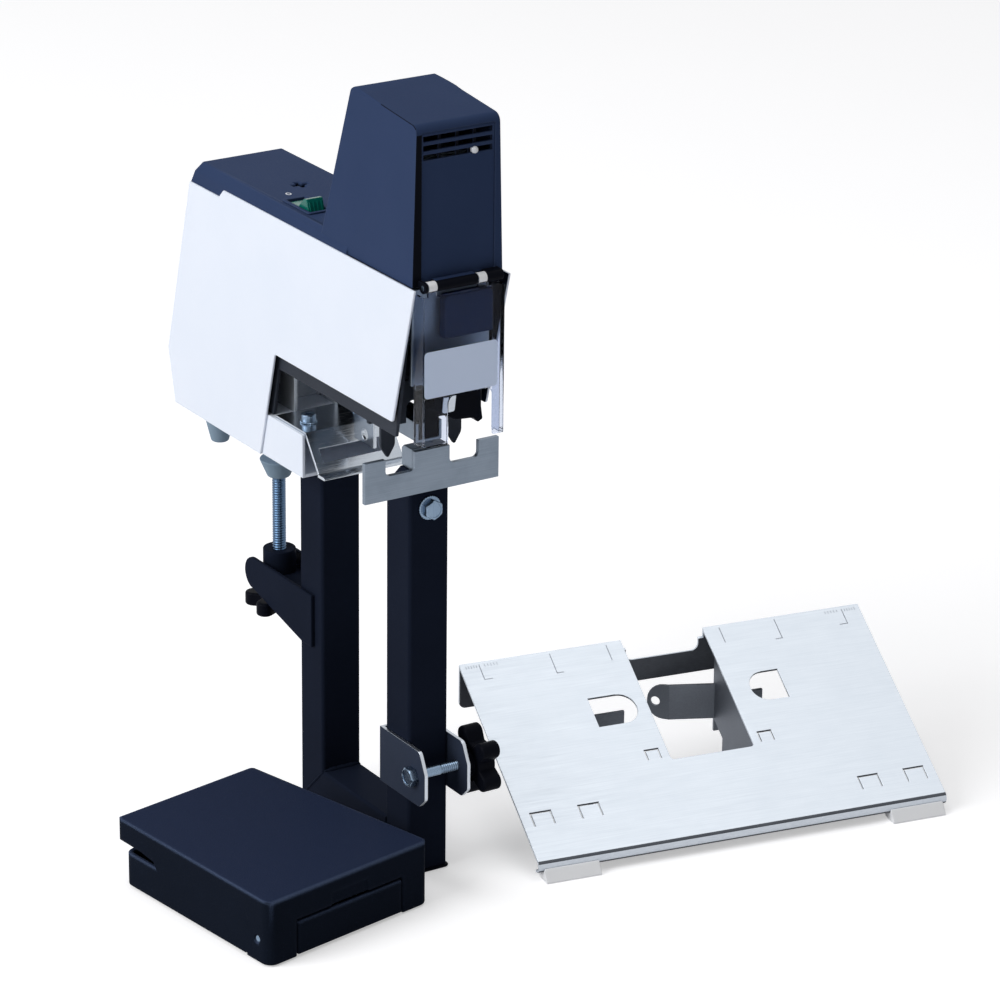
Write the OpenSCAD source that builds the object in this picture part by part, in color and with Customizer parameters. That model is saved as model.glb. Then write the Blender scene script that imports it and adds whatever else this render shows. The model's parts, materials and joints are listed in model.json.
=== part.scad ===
// Electric saddle stapler with foot pedal and loose saddle table.
// Millimetres, +Z up, +Y to the rear; the front post stands on the origin.

/* [Tube frame] */
// Outside width of the square tube
tube = 25; // [20:1:30]
// Wall of the square tube
tube_wall = 2; // [1.5:0.25:3]
// Outer corner radius of the tube
tube_r = 2; // [1:0.5:3]
// Distance between the post axes
post_pitch = 94; // [80:1:120]
// Height of the flat on the front post
front_top = 241; // [225:1:260]
// Length of that flat, before the rear slope
front_flat = 9.8; // [8:0.2:12]
// Thickness of the rim of the end caps
cap_t = 1.5; // [1:0.5:4]
// How far the cap rim stands out from the tube
cap_lip = 1.5; // [0.5:0.5:3]
// Depth of the cap's plug in the tube
cap_plug = 10; // [5:1:20]

/* [Anvil and guide plate] */
// Width of the anvil
anvil_w = 22; // [16:1:24]
// Depth of the anvil
anvil_d = 11; // [9:0.5:13]
// Height of the anvil above the post
anvil_h = 12; // [8:0.5:16]
// Depth of the anvil's shank in the post
anvil_shank = 35; // [25:1:50]
// Bolt axis below the post's top
anvil_bolt_drop = 23.5; // [18:0.5:30]
// Bolt diameter for anvil and bracket
bolt_d = 6; // [5:1:8]
// Width over flats of those bolts
bolt_af = 10; // [8:0.5:13]
// Height of their hexagon heads
bolt_head = 4.5; // [3:0.5:6]
// Diameter of their washers
washer_d = 14; // [12:0.5:18]
// Washer thickness
washer_t = 1.2; // [0.8:0.1:2]
// Width of the guide plate
guide_w = 84.6; // [75:0.2:95]
// Height of the guide plate
guide_h = 23.5; // [20:0.5:28]
// Thickness of the guide plate
guide_t = 3; // [2:0.5:4]
// Guide plate's lower edge below the post's top
guide_drop = 13; // [10:0.5:16]
// Width of a guide notch
notch_w = 18.3; // [14:0.1:20]
// Depth of a guide notch
notch_h = 9.5; // [6:0.5:12]
// Corner radius in the notches
notch_r = 3; // [1:0.5:4]

/* [Base] */
// Underside of the base
base_z = 211; // [195:1:220]
// Height of the base
base_h = 25.5; // [22:0.5:28]
// Front end of the base
base_front = 75; // [70:1:80]
// Length of the base
base_len = 139; // [120:1:145]
// Sheet thickness of the base
base_t = 2; // [1.5:0.5:3]
// Distance of the rubber feet from the base's rear end
foot_back = 30; // [20:1:40]
// Spacing of the rubber feet
foot_gap = 40; // [30:1:44]
// Height of a rubber foot
foot_h = 14; // [8:1:20]
// Top radius of a rubber foot
foot_r = 8.5; // [6:0.5:10]
// Bottom radius of a rubber foot
foot_tip_r = 5; // [3:0.5:6]

/* [Covers] */
// Width over the white covers
cover_w = 60; // [56:1:66]
// Sheet thickness of the covers
cover_t = 1.5; // [1:0.25:2.5]
// Front upper corner of the covers
cover_front = -45; // [-50:1:-42]
// Set-back of the lower front corner
cover_rake = 22; // [15:1:28]
// Height of the covers over the cut-out
cover_h = 79.5; // [70:0.5:90]
// Rear end of the cut-out, upper corner
cut_rear = 102.5; // [95:0.5:108]
// Rake of the cut-out's rear edge
cut_rake = 17.5; // [10:0.5:22]
// Rear upper corner of the covers
rear_top = 198; // [190:1:204]
// Rear bulge of the covers
rear_bulge = 28.5; // [20:0.5:32]
// Height of the bulge above the base
bulge_z = 31.5; // [25:0.5:40]
// Rear lower corner, forward of the bulge
rear_tuck = 7.5; // [4:0.5:10]
// Step in the covers' top edge at the rear
top_step = 5; // [3:0.5:7]
// Where that step starts
step_y = 164; // [150:1:175]
// Length of the power inlet's opening
inlet_w = 25; // [22:0.5:28]
// Height of the power inlet's opening
inlet_h = 18; // [15:0.5:20]
// Height of the power inlet above the bulge
inlet_rise = 30; // [24:1:36]
// Diameter of the pedal socket
socket_d = 14; // [10:0.5:18]
// Height of the pedal socket above the bulge
socket_rise = 68; // [62:1:80]

/* [Moulded top] */
// Wall of the moulded top
top_wall = 2.5; // [2:0.25:3.5]
// Height of the deck over the covers
deck_h = 8; // [6:0.5:10]
// Width of the deck's flat
deck_flat = 51; // [46:1:54]
// Width over the deck's sides
deck_w = 58; // [55:0.5:60]
// Height of the deck's upright sides
deck_side = 2.5; // [1.5:0.5:4]
// Front face of the tower
tower_front = -40; // [-42:0.5:-38]
// Rear edge of the tower's top
tower_rear = 26; // [20:1:32]
// Rear edge of the tower's foot at deck height
tower_foot = 53; // [46:1:58]
// Height of the tower over the deck, at its front
tower_h = 79; // [70:1:90]
// Rise of the tower's top to the rear
tower_rise = 6.5; // [3:0.5:9]
// Tower width at the top
tower_w = 51; // [46:1:54]
// Tower width at the foot
tower_foot_w = 56; // [52:1:58]
// Radius of the tower's upper edges
tower_r = 5; // [2:0.5:8]
// Width of the front panel
panel_w = 44.8; // [40:0.2:46]
// Height of the front panel
panel_h = 81; // [70:1:82]
// Panel thickness
panel_t = 2; // [1.5:0.5:2.5]
// Panel set back in the tower
panel_set = 0.6; // [0.2:0.2:1]
// Rows of vent slots
vent_rows = 3; // [1:1:5]
// Slots in a row
vent_cols = 4; // [2:1:6]
// Height of a vent slot
vent_h = 3.2; // [2:0.2:4]
// Pitch of the vent rows
vent_pitch = 5; // [4:0.25:7]
// Bar between two slots
vent_bar = 1.6; // [1:0.2:3]
// Lamp diameter
lamp_d = 4; // [3:0.5:6]
// Lamp's place to the right of the middle
lamp_x = 10; // [4:1:16]
// Arm length of the cross-shaped hole
cross_len = 10; // [8:0.5:14]
// Arm width of the cross-shaped hole
cross_w = 3; // [2:0.25:4]
// Place of the cross-shaped hole
cross_y = 125; // [118:1:150]

/* [Power switch] */
// Switch centre to the left of the middle
switch_x = 16.4; // [12:0.2:17]
// Switch centre along the deck
switch_y = 89; // [80:1:98]
// Width of the switch body
switch_w = 13.4; // [12:0.2:15]
// Length of the switch body
switch_len = 28; // [24:0.5:30]
// Depth of the switch body
switch_depth = 18; // [14:1:22]
// Bezel overlap
bezel = 1; // [0.6:0.2:1.4]
// Wall of the switch body
switch_wall = 1.1; // [1:0.1:1.2]
// Tilt of the rocker
rocker_tilt = 10; // [6:1:12]
// Height of the rocker's ends over its pivot
rocker_rise = 6; // [5:0.5:8]
// Pivot pin of the rocker
rocker_pin = 2.4; // [2:0.2:3]

/* [Head] */
// Gap for paper over the anvil
paper_gap = 3; // [2:0.5:5]
// Head plates' lower edge over the magazine's underside
head_lift = 9.5; // [8:0.5:11]
// Covers' cut-out over the head plates' lower edge
cover_lift = 10; // [6:0.5:12]
// Distance between the head plates
head_in = 48; // [46:0.5:50]
// Thickness of the head plates
head_t = 2; // [1.5:0.5:2]
// Front plate's place
front_y = -33; // [-34:0.5:-31]
// Front plate's thickness
front_t = 2; // [1.5:0.5:3]
// Depth of the black block in front of it
block_d = 6; // [4:0.5:8]
// Width of that block
block_w = 30; // [24:1:32]
// Height of that block
block_h = 24; // [18:1:30]
// Length of the tines under the head plates
tine_len = 18.5; // [14:0.5:20]
// Tine width
tine_w = 9; // [7:0.5:10]
// Tine centre from the middle
tine_x = 21; // [19:0.5:21]
// Tine plate's front face
tine_y = -4; // [-4.5:0.25:-3.5]
// Tine plate's thickness
tine_t = 2; // [1.5:0.5:3]

// Width of the bright strut behind the throat
strut_w = 28; // [24:1:36]
// Depth of that strut
strut_d = 22; // [16:1:26]

/* [Drive] */
// Solenoid axis along the machine
drive_y = -6.5; // [-7:0.1:-6]
// Plunger diameter
plunger_d = 16; // [12:1:20]
// Plunger length
plunger_len = 72; // [60:1:80]
// Collar on the plunger
collar_d = 24; // [20:1:28]
// Collar thickness
collar_t = 3; // [2:0.5:5]
// Coil diameter
coil_d = 34; // [28:1:36]
// Coil length
coil_len = 64; // [50:1:66]
// Yoke plate thickness
yoke_t = 3; // [2:0.5:4]
// Driver stroke
stroke = 10.5; // [8:0.5:11]
// Driver blade width
blade_w = 11.6; // [10:0.2:12]
// Driver blade thickness
blade_t = 1; // [0.8:0.1:1.4]
// Height of the driver guide
guide_block_h = 12; // [10:1:13]
// Spring wire
spring_wire = 1.6; // [1.2:0.2:2]
// Spring mean diameter
spring_d = 18; // [16:1:20]
// Turns of the return spring
spring_turns = 4; // [3:1:5]

/* [Magazine] */
// Magazine width
mag_w = 15; // [14.8:0.2:16]
// Magazine height
mag_h = 11; // [10:0.5:12]
// Magazine sheet
mag_t = 1.5; // [1:0.25:1.6]
// Length of the magazine behind the driver
mag_len = 112; // [95:1:120]
// Length of the staple strip
strip_len = 49; // [30:1:50]
// Staple wire
staple_wire = 0.7; // [0.5:0.1:0.9]
// Width of the black nose
nose_w = 25; // [20:0.5:26]
// Height of the nose over the magazine's floor
nose_h = 35; // [30:0.5:36]
// Depth of the nose
nose_d = 31; // [24:0.5:32]
// Pusher's front end behind the driver
pusher_y = 51; // [51:1:56]
// Length of the pusher
pusher_len = 21; // [16:0.5:22]
// Drop of the pusher's tab under the magazine
tab_drop = 23; // [15:0.5:24]
// Hole in the tab
tab_hole = 6.4; // [4:0.2:8]
// Thickness of the tab
tab_t = 2; // [1.5:0.25:2.5]
// Travel of the magazine to the front
mag_travel = 30; // [20:1:30]

/* [Guard] */
// Guard width
guard_w = 50.6; // [48:0.2:52]
// Guard height
guard_h = 83.5; // [75:0.5:86]
// Guard wall
guard_t = 2; // [1.5:0.5:3]
// Depth of the guard's side walls
guard_d = 9.5; // [7:0.5:11]
// Guard's front face before the tower
guard_out = 6.5; // [5.5:0.25:8]
// Left leg width
leg_left = 16; // [12:0.5:16]
// Right leg width
leg_right = 6.6; // [4:0.2:7]
// Height of the arch
arch_h = 27; // [24:0.5:32]
// Hinge pin diameter
guard_pin_d = 3; // [2:0.5:4]
// Hinge lug radius
lug_r = 3; // [2.5:0.25:3.5]
// Hinge lug width
lug_w = 5.5; // [5:0.5:6]
// Left hinge lug's centre from the middle
lug_left = 19.3; // [18:0.1:20]
// Right hinge lug's centre from the middle
lug_right = 11.5; // [10:0.5:16]

/* [Paper stop] */
// Stop width
stop_w = 54; // [44:1:56]
// Sheet of the stop
stop_t = 1.5; // [1:0.25:2]
// Length of its flange on the base
stop_flange = 32; // [28:1:38]
// Length of its slope
stop_slope = 24.3; // [20:0.5:28]
// Angle of its slope from the upright
stop_angle = 36.6; // [30:0.5:45]
// Depth of its lower lip
stop_lip = 5.5; // [3:0.5:8]
// Window width
window_w = 44; // [30:1:46]
// Window height along the slope
window_h = 8; // [5:0.5:10]
// Window below the bend
window_at = 10.5; // [8:0.5:12]
// Stop screw diameter
stop_screw = 5; // [4:0.5:6]
// Stop screw spacing
stop_pitch = 34; // [24:1:36]
// Stop screw behind the base's front
stop_screw_y = 13; // [11:0.5:16]
// Travel of the stop
stop_travel = 4; // [2:0.5:4]

/* [Table clamp] */
// Clamp screw behind the rear post's axis
clamp_back = 57.5; // [45:0.5:65]
// Clamp screw diameter
screw_d = 8; // [8:1:12]
// Diameter of the welded round nut
nut_d = 19; // [15:0.5:21]
// Height of the welded nut
nut_h = 14; // [8:0.5:16]
// Top edge of the clamp arm
arm_top = 132.5; // [125:0.5:140]
// Height of the arm at the post
arm_h = 31.5; // [26:0.5:36]
// Height of the arm at its round end
arm_end = 19; // [16:0.5:22]
// Plate thickness of the arm
arm_t = 2.4; // [2:0.2:3]
// Arm's front end behind the rear post's front face
arm_lap = 8.5; // [4:0.5:12]
// Web thickness
web_t = 3; // [2:0.5:4]
// Web below the arm's top edge
web_drop = 8.5; // [6:0.5:10]
// Gap between feet and pad at rest
clamp_gap = 4; // [2:0.5:10]
// Pad height
pad_h = 11; // [10:0.5:16]
// Pad top radius
pad_r = 11.2; // [9:0.2:13]
// Pad lower radius
pad_low_r = 6.4; // [6:0.1:9]
// Screw's seat in the pad
pad_seat = 6; // [4:0.5:8]
// Knob thickness
knob_t = 11; // [10:0.5:16]
// Radius to the knob's lobes
knob_ring = 15.5; // [14:0.5:17]
// Lobe radius
knob_lobe = 5; // [4:0.5:6]
// Knob top below the arm's round end
knob_drop = 1; // [1:0.5:8]
// Turn of the knob's lobes at rest
knob_turn = 63; // [0:1:71]

/* [Post bracket] */
// Lower edge of the bracket
bracket_z = 48.5; // [40:0.5:70]
// Height of the bracket
bracket_h = 33; // [26:0.5:40]
// Plate of the bracket
bracket_t = 2.2; // [1.8:0.2:3]
// Reach of the ears before the post's axis
ear_reach = 33; // [30:0.5:38]
// Corner cut of the ears
ear_cut = 6; // [3:0.5:9]
// Bolt axis before the post's axis
ear_bolt = 21; // [19:0.5:24]
// Star knob thickness
star_t = 11.5; // [10:0.5:16]
// Radius to the star knob's lobes
star_ring = 15.5; // [14:0.5:18]
// Lobe radius of the star knob
star_lobe = 5; // [4:0.5:6]
// Hub length of the star knob
star_hub = 4; // [3:0.5:8]
// Turn of the lobes at rest
star_turn = 67; // [0:1:71]
// Hub radius of the star knob
star_hub_r = 8; // [6:0.5:9]

/* [Foot pedal] */
// Pedal's place across
pedal_x = -91.6; // [-110:0.2:-90]
// Pedal's place along
pedal_y = 8.6; // [-20:0.2:20]
// Pedal's turn on the floor
pedal_yaw = 11.5; // [0:0.5:14]
// Pedal width at the front
pedal_front_w = 117; // [100:1:118]
// Pedal width at the rear
pedal_rear_w = 98; // [80:1:102]
// Pedal length
pedal_len = 139; // [120:0.2:142]
// Pedal height at the front
pedal_h = 38; // [32:0.5:42]
// Rise of the treadle to the rear
treadle_rise = 1; // [0:0.2:4]
// Height of the pedal's base
pedal_base_h = 21; // [18:0.5:24]
// Rear step of the base under the treadle
pedal_step = 8; // [4:0.5:12]
// Gap under the treadle at the front
treadle_gap = 1.5; // [1.2:0.1:3]
// Further gap under the treadle at the rear
treadle_lift = 3.5; // [3.2:0.1:5]
// Pedal wall
pedal_wall = 3; // [2:0.25:4]
// Corner radius in plan
pedal_r = 6; // [3:0.5:9]
// Hinge pin diameter
pedal_pin_d = 4; // [3:0.5:5]
// Hinge pin behind the front
pedal_pin_y = 10.5; // [9:0.5:13]
// Hinge pin height
pedal_pin_z = 14; // [12:0.5:15]
// Rubber feet height
pedal_foot = 1.5; // [1:0.5:3]
// Width of the treadle's front legs
tread_leg_w = 20; // [14:0.5:24]
// Length of the treadle's front legs
tread_leg_len = 20; // [16:0.5:24]
// Gap round the front legs
tread_leg_gap = 0.8; // [0.6:0.1:1.2]
// Place of the pedal spring from the rear
pedal_spring_back = 26.3; // [22:0.1:30]
// Length, width and height of the pedal's switch
pedal_switch_size = [28, 11, 14];
// Turns of the pedal spring
pedal_turns = 5; // [3:1:6]

/* [Saddle table] */
// Table's place across
table_x = 170.7; // [170:0.2:200]
// Table's place along
table_y = -78.3; // [-100:0.2:-60]
// Table's turn on the floor
table_yaw = -10; // [-12:0.5:0]
// Table width
table_w = 254; // [230:1:254]
// Length of the sloping plate
table_len = 141; // [130:1:150]
// Slope of the plate
table_tilt = 30.8; // [26:0.2:36]
// Height of the front edge
table_front = 10; // [9:0.5:14]
// Sheet thickness
table_t = 1.5; // [1:0.25:2]
// Height of the rear lip
lip_h = 27; // [22:0.5:32]
// Radius of the rolled front edge
bead_r = 4; // [3:0.25:5]
// Saddle notch width
saddle_w = 52; // [44:1:54]
// Saddle notch length
saddle_len = 86.5; // [70:1:90]
// Rear lip cut away in the notch
saddle_drop = 13; // [8:0.5:16]
// How far the lip stands into the notch
lip_in = 3; // [0:0.5:6]
// Corner radius of the rear lip
lip_r = 4; // [2:0.5:6]
// Length of the D-shaped holes
dee_len = 27; // [20:1:32]
// Inner end of the right one cut short by
dee_short = 6; // [0:0.5:10]
// Width of the D-shaped holes
dee_w = 20; // [14:1:22]
// Inner end of the D-shaped holes from the middle
dee_x = 33; // [32:0.5:40]
// D-shaped holes from the ridge
dee_v = 47; // [38:1:56]
// Plate of the table's bracket
cheek_t = 2; // [1.5:0.25:3]
// Length of the cheeks along the floor
cheek_len = 58; // [50:1:70]
// Rear edge of the cheeks from the ridge
cheek_back = 17; // [14:0.5:22]
// Height of the cheeks under the plate
cheek_h = 37.6; // [32:0.2:42]
// Left cheek's place from the middle
cheek_left = 62; // [50:1:70]
// Width of the legs' feet
cheek_foot = 10; // [8:0.5:14]
// Height of the hanger arm
hanger_h = 21.5; // [16:0.5:24]
// Hanger arm above the floor
hanger_z = 32; // [28:0.5:34]
// Length of the hanger arm up to its tab
hanger_len = 28; // [20:0.5:30]
// Turn of the hanger arm to the rear
hanger_turn = 16.5; // [10:0.5:24]
// Length of the hanger tab
hanger_tab = 12.4; // [11.5:0.1:16]
// Turn of that tab from the arm
hanger_bend = 23.6; // [10:0.2:30]
// Hole in that tab
hanger_hole = 5.5; // [4:0.5:7]
// Reach of the wings beside the cheeks
wing_w = 31; // [20:1:36]
// Height of the wings
wing_h = 22; // [16:1:24]
// Wings above the floor
wing_z = 24; // [20:1:28]
// Foot block length
block_len = 33; // [24:1:40]
// Foot block thickness
block_t = 4; // [3:0.5:6]

/* [Fits] */
// Radial clearance of a turning or sliding shaft
run_fit = 0.05; // [0.02:0.01:0.1]
// Gap between sliding or moving pieces
slide_gap = 0.3; // [0.2:0.05:0.5]
// Gap round a piece pushed in by hand
push_gap = 0.1; // [0.05:0.05:0.2]

/* [Hidden] */
$fn = 48;
over = 1;
half = tube / 2;
bore = tube - 2 * tube_wall;
tube_z = cap_t;
beam_top = tube_z + tube;
flat_y = front_flat - half;
anvil_top = front_top + anvil_h;
anvil_y0 = -half;
anvil_y1 = anvil_y0 + anvil_d;
anvil_bolt_z = front_top - anvil_bolt_drop;
guide_z = front_top - guide_drop;
guide_top = guide_z + guide_h;

mag_z = anvil_top + paper_gap;
head_z = mag_z + head_lift;
cut_z = head_z + cover_lift;
cover_top = cut_z + cover_h;
base_top = base_z + base_h;
base_rear = base_front + base_len;
cover_in = cover_w / 2 - cover_t;
cover_out = cover_w / 2;
head_x0 = head_in / 2;
head_x1 = head_x0 + head_t;
bulge_y = rear_top + rear_bulge;
rear_z = cover_top - top_step;

deck_z = cover_top + deck_h;
tower_z0 = deck_z + tower_h;
tower_z1 = tower_z0 + tower_rise;
tower_lean = (tower_foot - tower_rear) / (tower_z1 - deck_z);
deck_rear = rear_top - deck_h;
panel_lift = 2;
panel_z0 = cover_top + panel_lift;
panel_z1 = panel_z0 + panel_h;
lamp_z = panel_z1 - vent_pitch * vent_rows + vent_h / 2;
lamp_pad = lamp_d + 2;

blade_dip = 2;
blade_len = 64;
blade_rest = mag_z + mag_h - blade_dip;
blade_y0 = drive_y - blade_t / 2;
blade_y1 = drive_y + blade_t / 2;
blade_bite = 7;
head_drop = 4;
nose_gap = 4.5;
nose_seat = 5;
nose_lift = 8;
yoke_z = cover_top - head_drop;
plunger_z = blade_rest + blade_len;
guide_block_z = mag_z + nose_h + nose_gap;
guide_block_top = guide_block_z + guide_block_h;

guard_y = tower_front - guard_out;
guard_gap = 4.5;
pin_in = 2.5;
pin_lift = 0.5;
guard_top = cover_top - guard_gap;
guard_bot = guard_top - guard_h;
hinge_y = guard_y + pin_in;
hinge_z = cover_top + pin_lift;
front_top_z = cover_top - head_drop;

foot_z = base_z - foot_h;
foot_y = base_rear - foot_back;
clamp_y = post_pitch + clamp_back;
web_top = arm_top - web_drop;
pad_top = foot_z - clamp_gap;
pad_z = pad_top - pad_h;
screw_top = pad_z + pad_seat;
knob_z1 = arm_top - arm_end - knob_drop;
knob_z0 = knob_z1 - knob_t;

bracket_in = half + slide_gap / 2;
bracket_out = bracket_in + bracket_t;
bracket_mid = bracket_z + bracket_h / 2;
star_x0 = bracket_out + washer_t;
star_x1 = star_x0 + star_hub;
star_x2 = star_x1 + star_t;
bolt_short = 3;
bolt_end = star_x2 - bolt_short;

tread_z0 = pedal_base_h + treadle_gap;
tread_z1 = tread_z0 + treadle_lift;
pedal_spring_y = pedal_len / 2 - pedal_spring_back;

ridge_y = table_len * cos(table_tilt);
ridge_z = table_front + table_len * sin(table_tilt);

black_steel = "#24262a";
white_sheet = "#eef0f2";
dark_abs = "#3a3f4a";
dark_plate = "#3c424c";
zinc = "#b9bdc2";
steel = "#9da2a6";
bright = "#c9ccce";
rubber = "#7d8790";
black_abs = "#1b1c1f";
clear = "#b8cfe0";

// Shared shapes
function unit(v) = v / norm(v);

// Points of the arc that rounds corner p between its neighbours a and b
function fillet(p, a, b, r, n) =
  let (u = unit(a - p), w = unit(b - p), h = acos(u * w) / 2, c = p + unit(u + w) * r / sin(h),
    s = p + u * r / tan(h) - c, e = p + w * r / tan(h) - c, a0 = atan2(s[1], s[0]),
    turn = (atan2(e[1], e[0]) - a0 + 540) % 360 - 180)
  [for (i = [0:n]) c + r * [cos(a0 + turn * i / n), sin(a0 + turn * i / n)]];

// Outline with the corner radii of list rs; 0 keeps a corner sharp
function rounded(pts, rs, n = 6) =
  [for (i = [0:len(pts) - 1]) each rs[i] == 0 ? [pts[i]]
    : fillet(pts[i], pts[(i + len(pts) - 1) % len(pts)], pts[(i + 1) % len(pts)], rs[i], n)];

// Outline drawn in (Y, Z), extruded from x0 to x1
module yz(x0, x1) {
  translate([x0, 0, 0])
    rotate([90, 0, 90])
      linear_extrude(x1 - x0)
        children();
}

// Outline drawn in (X, Z), extruded from y0 to y1
module xz(y0, y1) {
  translate([0, y1, 0])
    rotate([90, 0, 0])
      linear_extrude(y1 - y0)
        children();
}

// Block between two corners
module box(a, b) {
  translate(a)
    cube(b - a);
}

// Shape and its mirror image across the machine
module pair() {
  children();
  mirror([1, 0, 0])
    children();
}

module rounded_square(w, d, r) {
  square([w - 2 * r, d], center = true);
  square([w, d - 2 * r], center = true);
  for (sx = [-1, 1], sy = [-1, 1])
    translate([sx * (w / 2 - r), sy * (d / 2 - r)])
      circle(r = r);
}

module tube_section() {
  difference() {
    rounded_square(tube, tube, tube_r);
    square(bore, center = true);
  }
}

// Round rod along X, Y or Z from a start point
module rod_x(p, d, len) {
  translate(p)
    rotate([0, 90, 0])
      cylinder(d = d, h = len);
}

module rod_y(p, d, len) {
  translate(p)
    rotate([-90, 0, 0])
      cylinder(d = d, h = len);
}

module rod_z(p, d, len) {
  translate(p)
    cylinder(d = d, h = len);
}

// Lobed hand knob in plan
module lobes(ring, lobe, count) {
  circle(r = 0.75 * ring);
  for (i = [0:count - 1])
    rotate(i * 360 / count) {
      translate([0, -lobe])
        square([ring, 2 * lobe]);
      translate([ring, 0])
        circle(r = lobe);
    }
}

// Wire spring from z0 to z1 as one tube of rings along a helix
module coil_spring(d, wire, turns, z0, z1) {
  sides = 6;
  steps = 14;
  count = turns * steps;
  low = z0 + wire / 2;
  high = z1 - wire / 2;
  function centre(i) =
    [d / 2 * cos(360 * i / steps), d / 2 * sin(360 * i / steps), low + (high - low) * i / count];
  points = [for (i = [0:count], k = [0:sides - 1])
    let (a = 360 * i / steps, q = 360 * k / sides, c = centre(i))
    c + wire / 2 * [cos(q) * cos(a), cos(q) * sin(a), sin(q)]];
  side_faces = [for (i = [0:count - 1], k = [0:sides - 1])
    let (m = (k + 1) % sides, a = i * sides + k, b = i * sides + m)
    each [[a, b + sides, b], [a, a + sides, b + sides]]];
  first = [for (k = [1:sides - 2]) [0, k, k + 1]];
  end = count * sides;
  last = [for (k = [1:sides - 2]) [end, end + k + 1, end + k]];
  echo(spring_gap = norm(centre(steps) - centre(0)) - wire);
  polyhedron(points = points, faces = concat(side_faces, first, last));
}

// Tube frame
module front_post() {
  color(black_steel)
    difference() {
      translate([0, 0, tube_z])
        linear_extrude(front_top - tube_z)
          tube_section();
      yz(-tube, tube)
        polygon([[flat_y, front_top + over], [flat_y, front_top],
          [half + over, front_top - (half + over - flat_y)], [half + over,
            front_top + over]]);
      rod_y([0, -half - over, anvil_bolt_z], bolt_d + 2 * slide_gap, tube_wall + 2 * over);
    }
}

// Half-space under the mitre of the rear corner
module mitre() {
  yz(-tube, tube)
    polygon([[post_pitch - half - over, beam_top + over], [post_pitch + half + over, tube_z - over],
      [post_pitch - half - over, tube_z - over]]);
}

module rear_post() {
  color(black_steel)
    difference() {
      translate([0, post_pitch, tube_z])
        linear_extrude(base_z - tube_z)
          tube_section();
      mitre();
    }
}

module bottom_beam() {
  color(black_steel)
    difference() {
      translate([0, 0, tube_z + half])
        xz(half, post_pitch + half)
          tube_section();
      yz(-tube, tube)
        polygon([[post_pitch - half - over, beam_top + over], [post_pitch + half + over,
          tube_z - over],
          [post_pitch + half + over, beam_top + over]]);
    }
}

module post_end_caps() {
  color(black_abs) {
    linear_extrude(cap_t)
      rounded_square(tube + 2 * cap_lip, tube + 2 * cap_lip, tube_r + cap_lip);
    linear_extrude(cap_t + cap_plug)
      square(bore - 2 * push_gap, center = true);
    translate([0, post_pitch, 0])
      linear_extrude(cap_t)
        rounded_square(bore, bore, tube_r);
  }
}

// Anvil and guide plate
module guide_notch() {
  translate([anvil_w / 2 + notch_w / 2, guide_top - notch_h / 2 + over / 2])
    rounded_square(notch_w, notch_h + over, notch_r);
  translate([anvil_w / 2, guide_top - notch_h / 2])
    square([notch_w, notch_h]);
}

module guide_plate() {
  color(steel)
    xz(-half - guide_t, -half) {
      difference() {
        translate([-guide_w / 2, guide_z])
          square([guide_w, guide_h]);
        guide_notch();
        mirror([1, 0])
          guide_notch();
      }
      translate([-anvil_w / 2, guide_top - over])
        square([anvil_w, over + over]);
    }
}

module anvil() {
  groove_r = 1;
  groove_x = 3.2;
  bevel = 2;
  shank_w = bore - 2 * push_gap;
  color(steel)
    difference() {
      union() {
        yz(-anvil_w / 2, anvil_w / 2)
          polygon([[anvil_y0, front_top], [anvil_y1, front_top], [anvil_y1,
            anvil_top - bevel],
            [anvil_y1 - bevel, anvil_top], [anvil_y0, anvil_top]]);
        box([-shank_w / 2, -shank_w / 2, front_top - anvil_shank],
          [shank_w / 2, flat_y - push_gap, front_top + over]);
      }
      for (s = [-1, 1])
        rod_x([s * groove_x - 2 * groove_r, drive_y, anvil_top], 2 * groove_r, 4 * groove_r);
      rod_y([0, -half, anvil_bolt_z], bolt_d + 2 * run_fit, tube);
    }
}

module anvil_bolt() {
  color(zinc) {
    rod_y([0, -half - washer_t, anvil_bolt_z], bolt_d, half + washer_t + flat_y - 1.5);
    rod_y([0, -half - washer_t, anvil_bolt_z], washer_d, washer_t);
    translate([0, -half - washer_t - bolt_head, anvil_bolt_z])
      rotate([-90, 0, 0])
        cylinder(d = bolt_af / cos(30), h = bolt_head, $fn = 6);
  }
}

// Base and covers
module base_channel() {
  color(white_sheet)
    difference() {
      box([-cover_in, base_front, base_z], [cover_in, base_rear, base_top]);
      box([base_t - cover_in, base_front - over, base_z + base_t],
        [cover_in - base_t, base_rear + over, base_top - base_t]);
      for (s = [-1, 1])
        rod_z([s * stop_pitch / 2, base_front + stop_screw_y, base_top - base_t - over],
          stop_screw + 2 * run_fit, base_t + 2 * over);
    }
}

module rubber_feet() {
  color(rubber)
    for (s = [-1, 1])
      translate([s * foot_gap / 2, foot_y, foot_z])
        cylinder(r1 = foot_tip_r, r2 = foot_r, h = foot_h);
}

// Side view of a white cover
module cover_outline() {
  polygon(rounded([[cover_front, cover_top], [step_y - top_step, cover_top], [step_y, rear_z],
    [rear_top, rear_z], [bulge_y, base_z + bulge_z], [bulge_y - rear_tuck, base_z],
    [cut_rear + cut_rake, base_z], [cut_rear, cut_z], [cover_front + cover_rake, cut_z]],
    [0, 0, 0, 0, 4, 0, 0, 2, 2]));
}

module side_cover_left() {
  color(white_sheet)
    yz(-cover_out, -cover_in)
      cover_outline();
}

module side_cover_right() {
  color(white_sheet)
    yz(cover_in, cover_out)
      cover_outline();
}

// Place on the sloping rear panel, with z outwards
panel_tilt = atan2(rear_bulge, rear_z - base_z - bulge_z);

module on_rear(rise) {
  translate([0, bulge_y - rise * tan(panel_tilt), base_z + bulge_z + rise])
    rotate([panel_tilt - 90, 0, 0])
      children();
}

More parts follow.
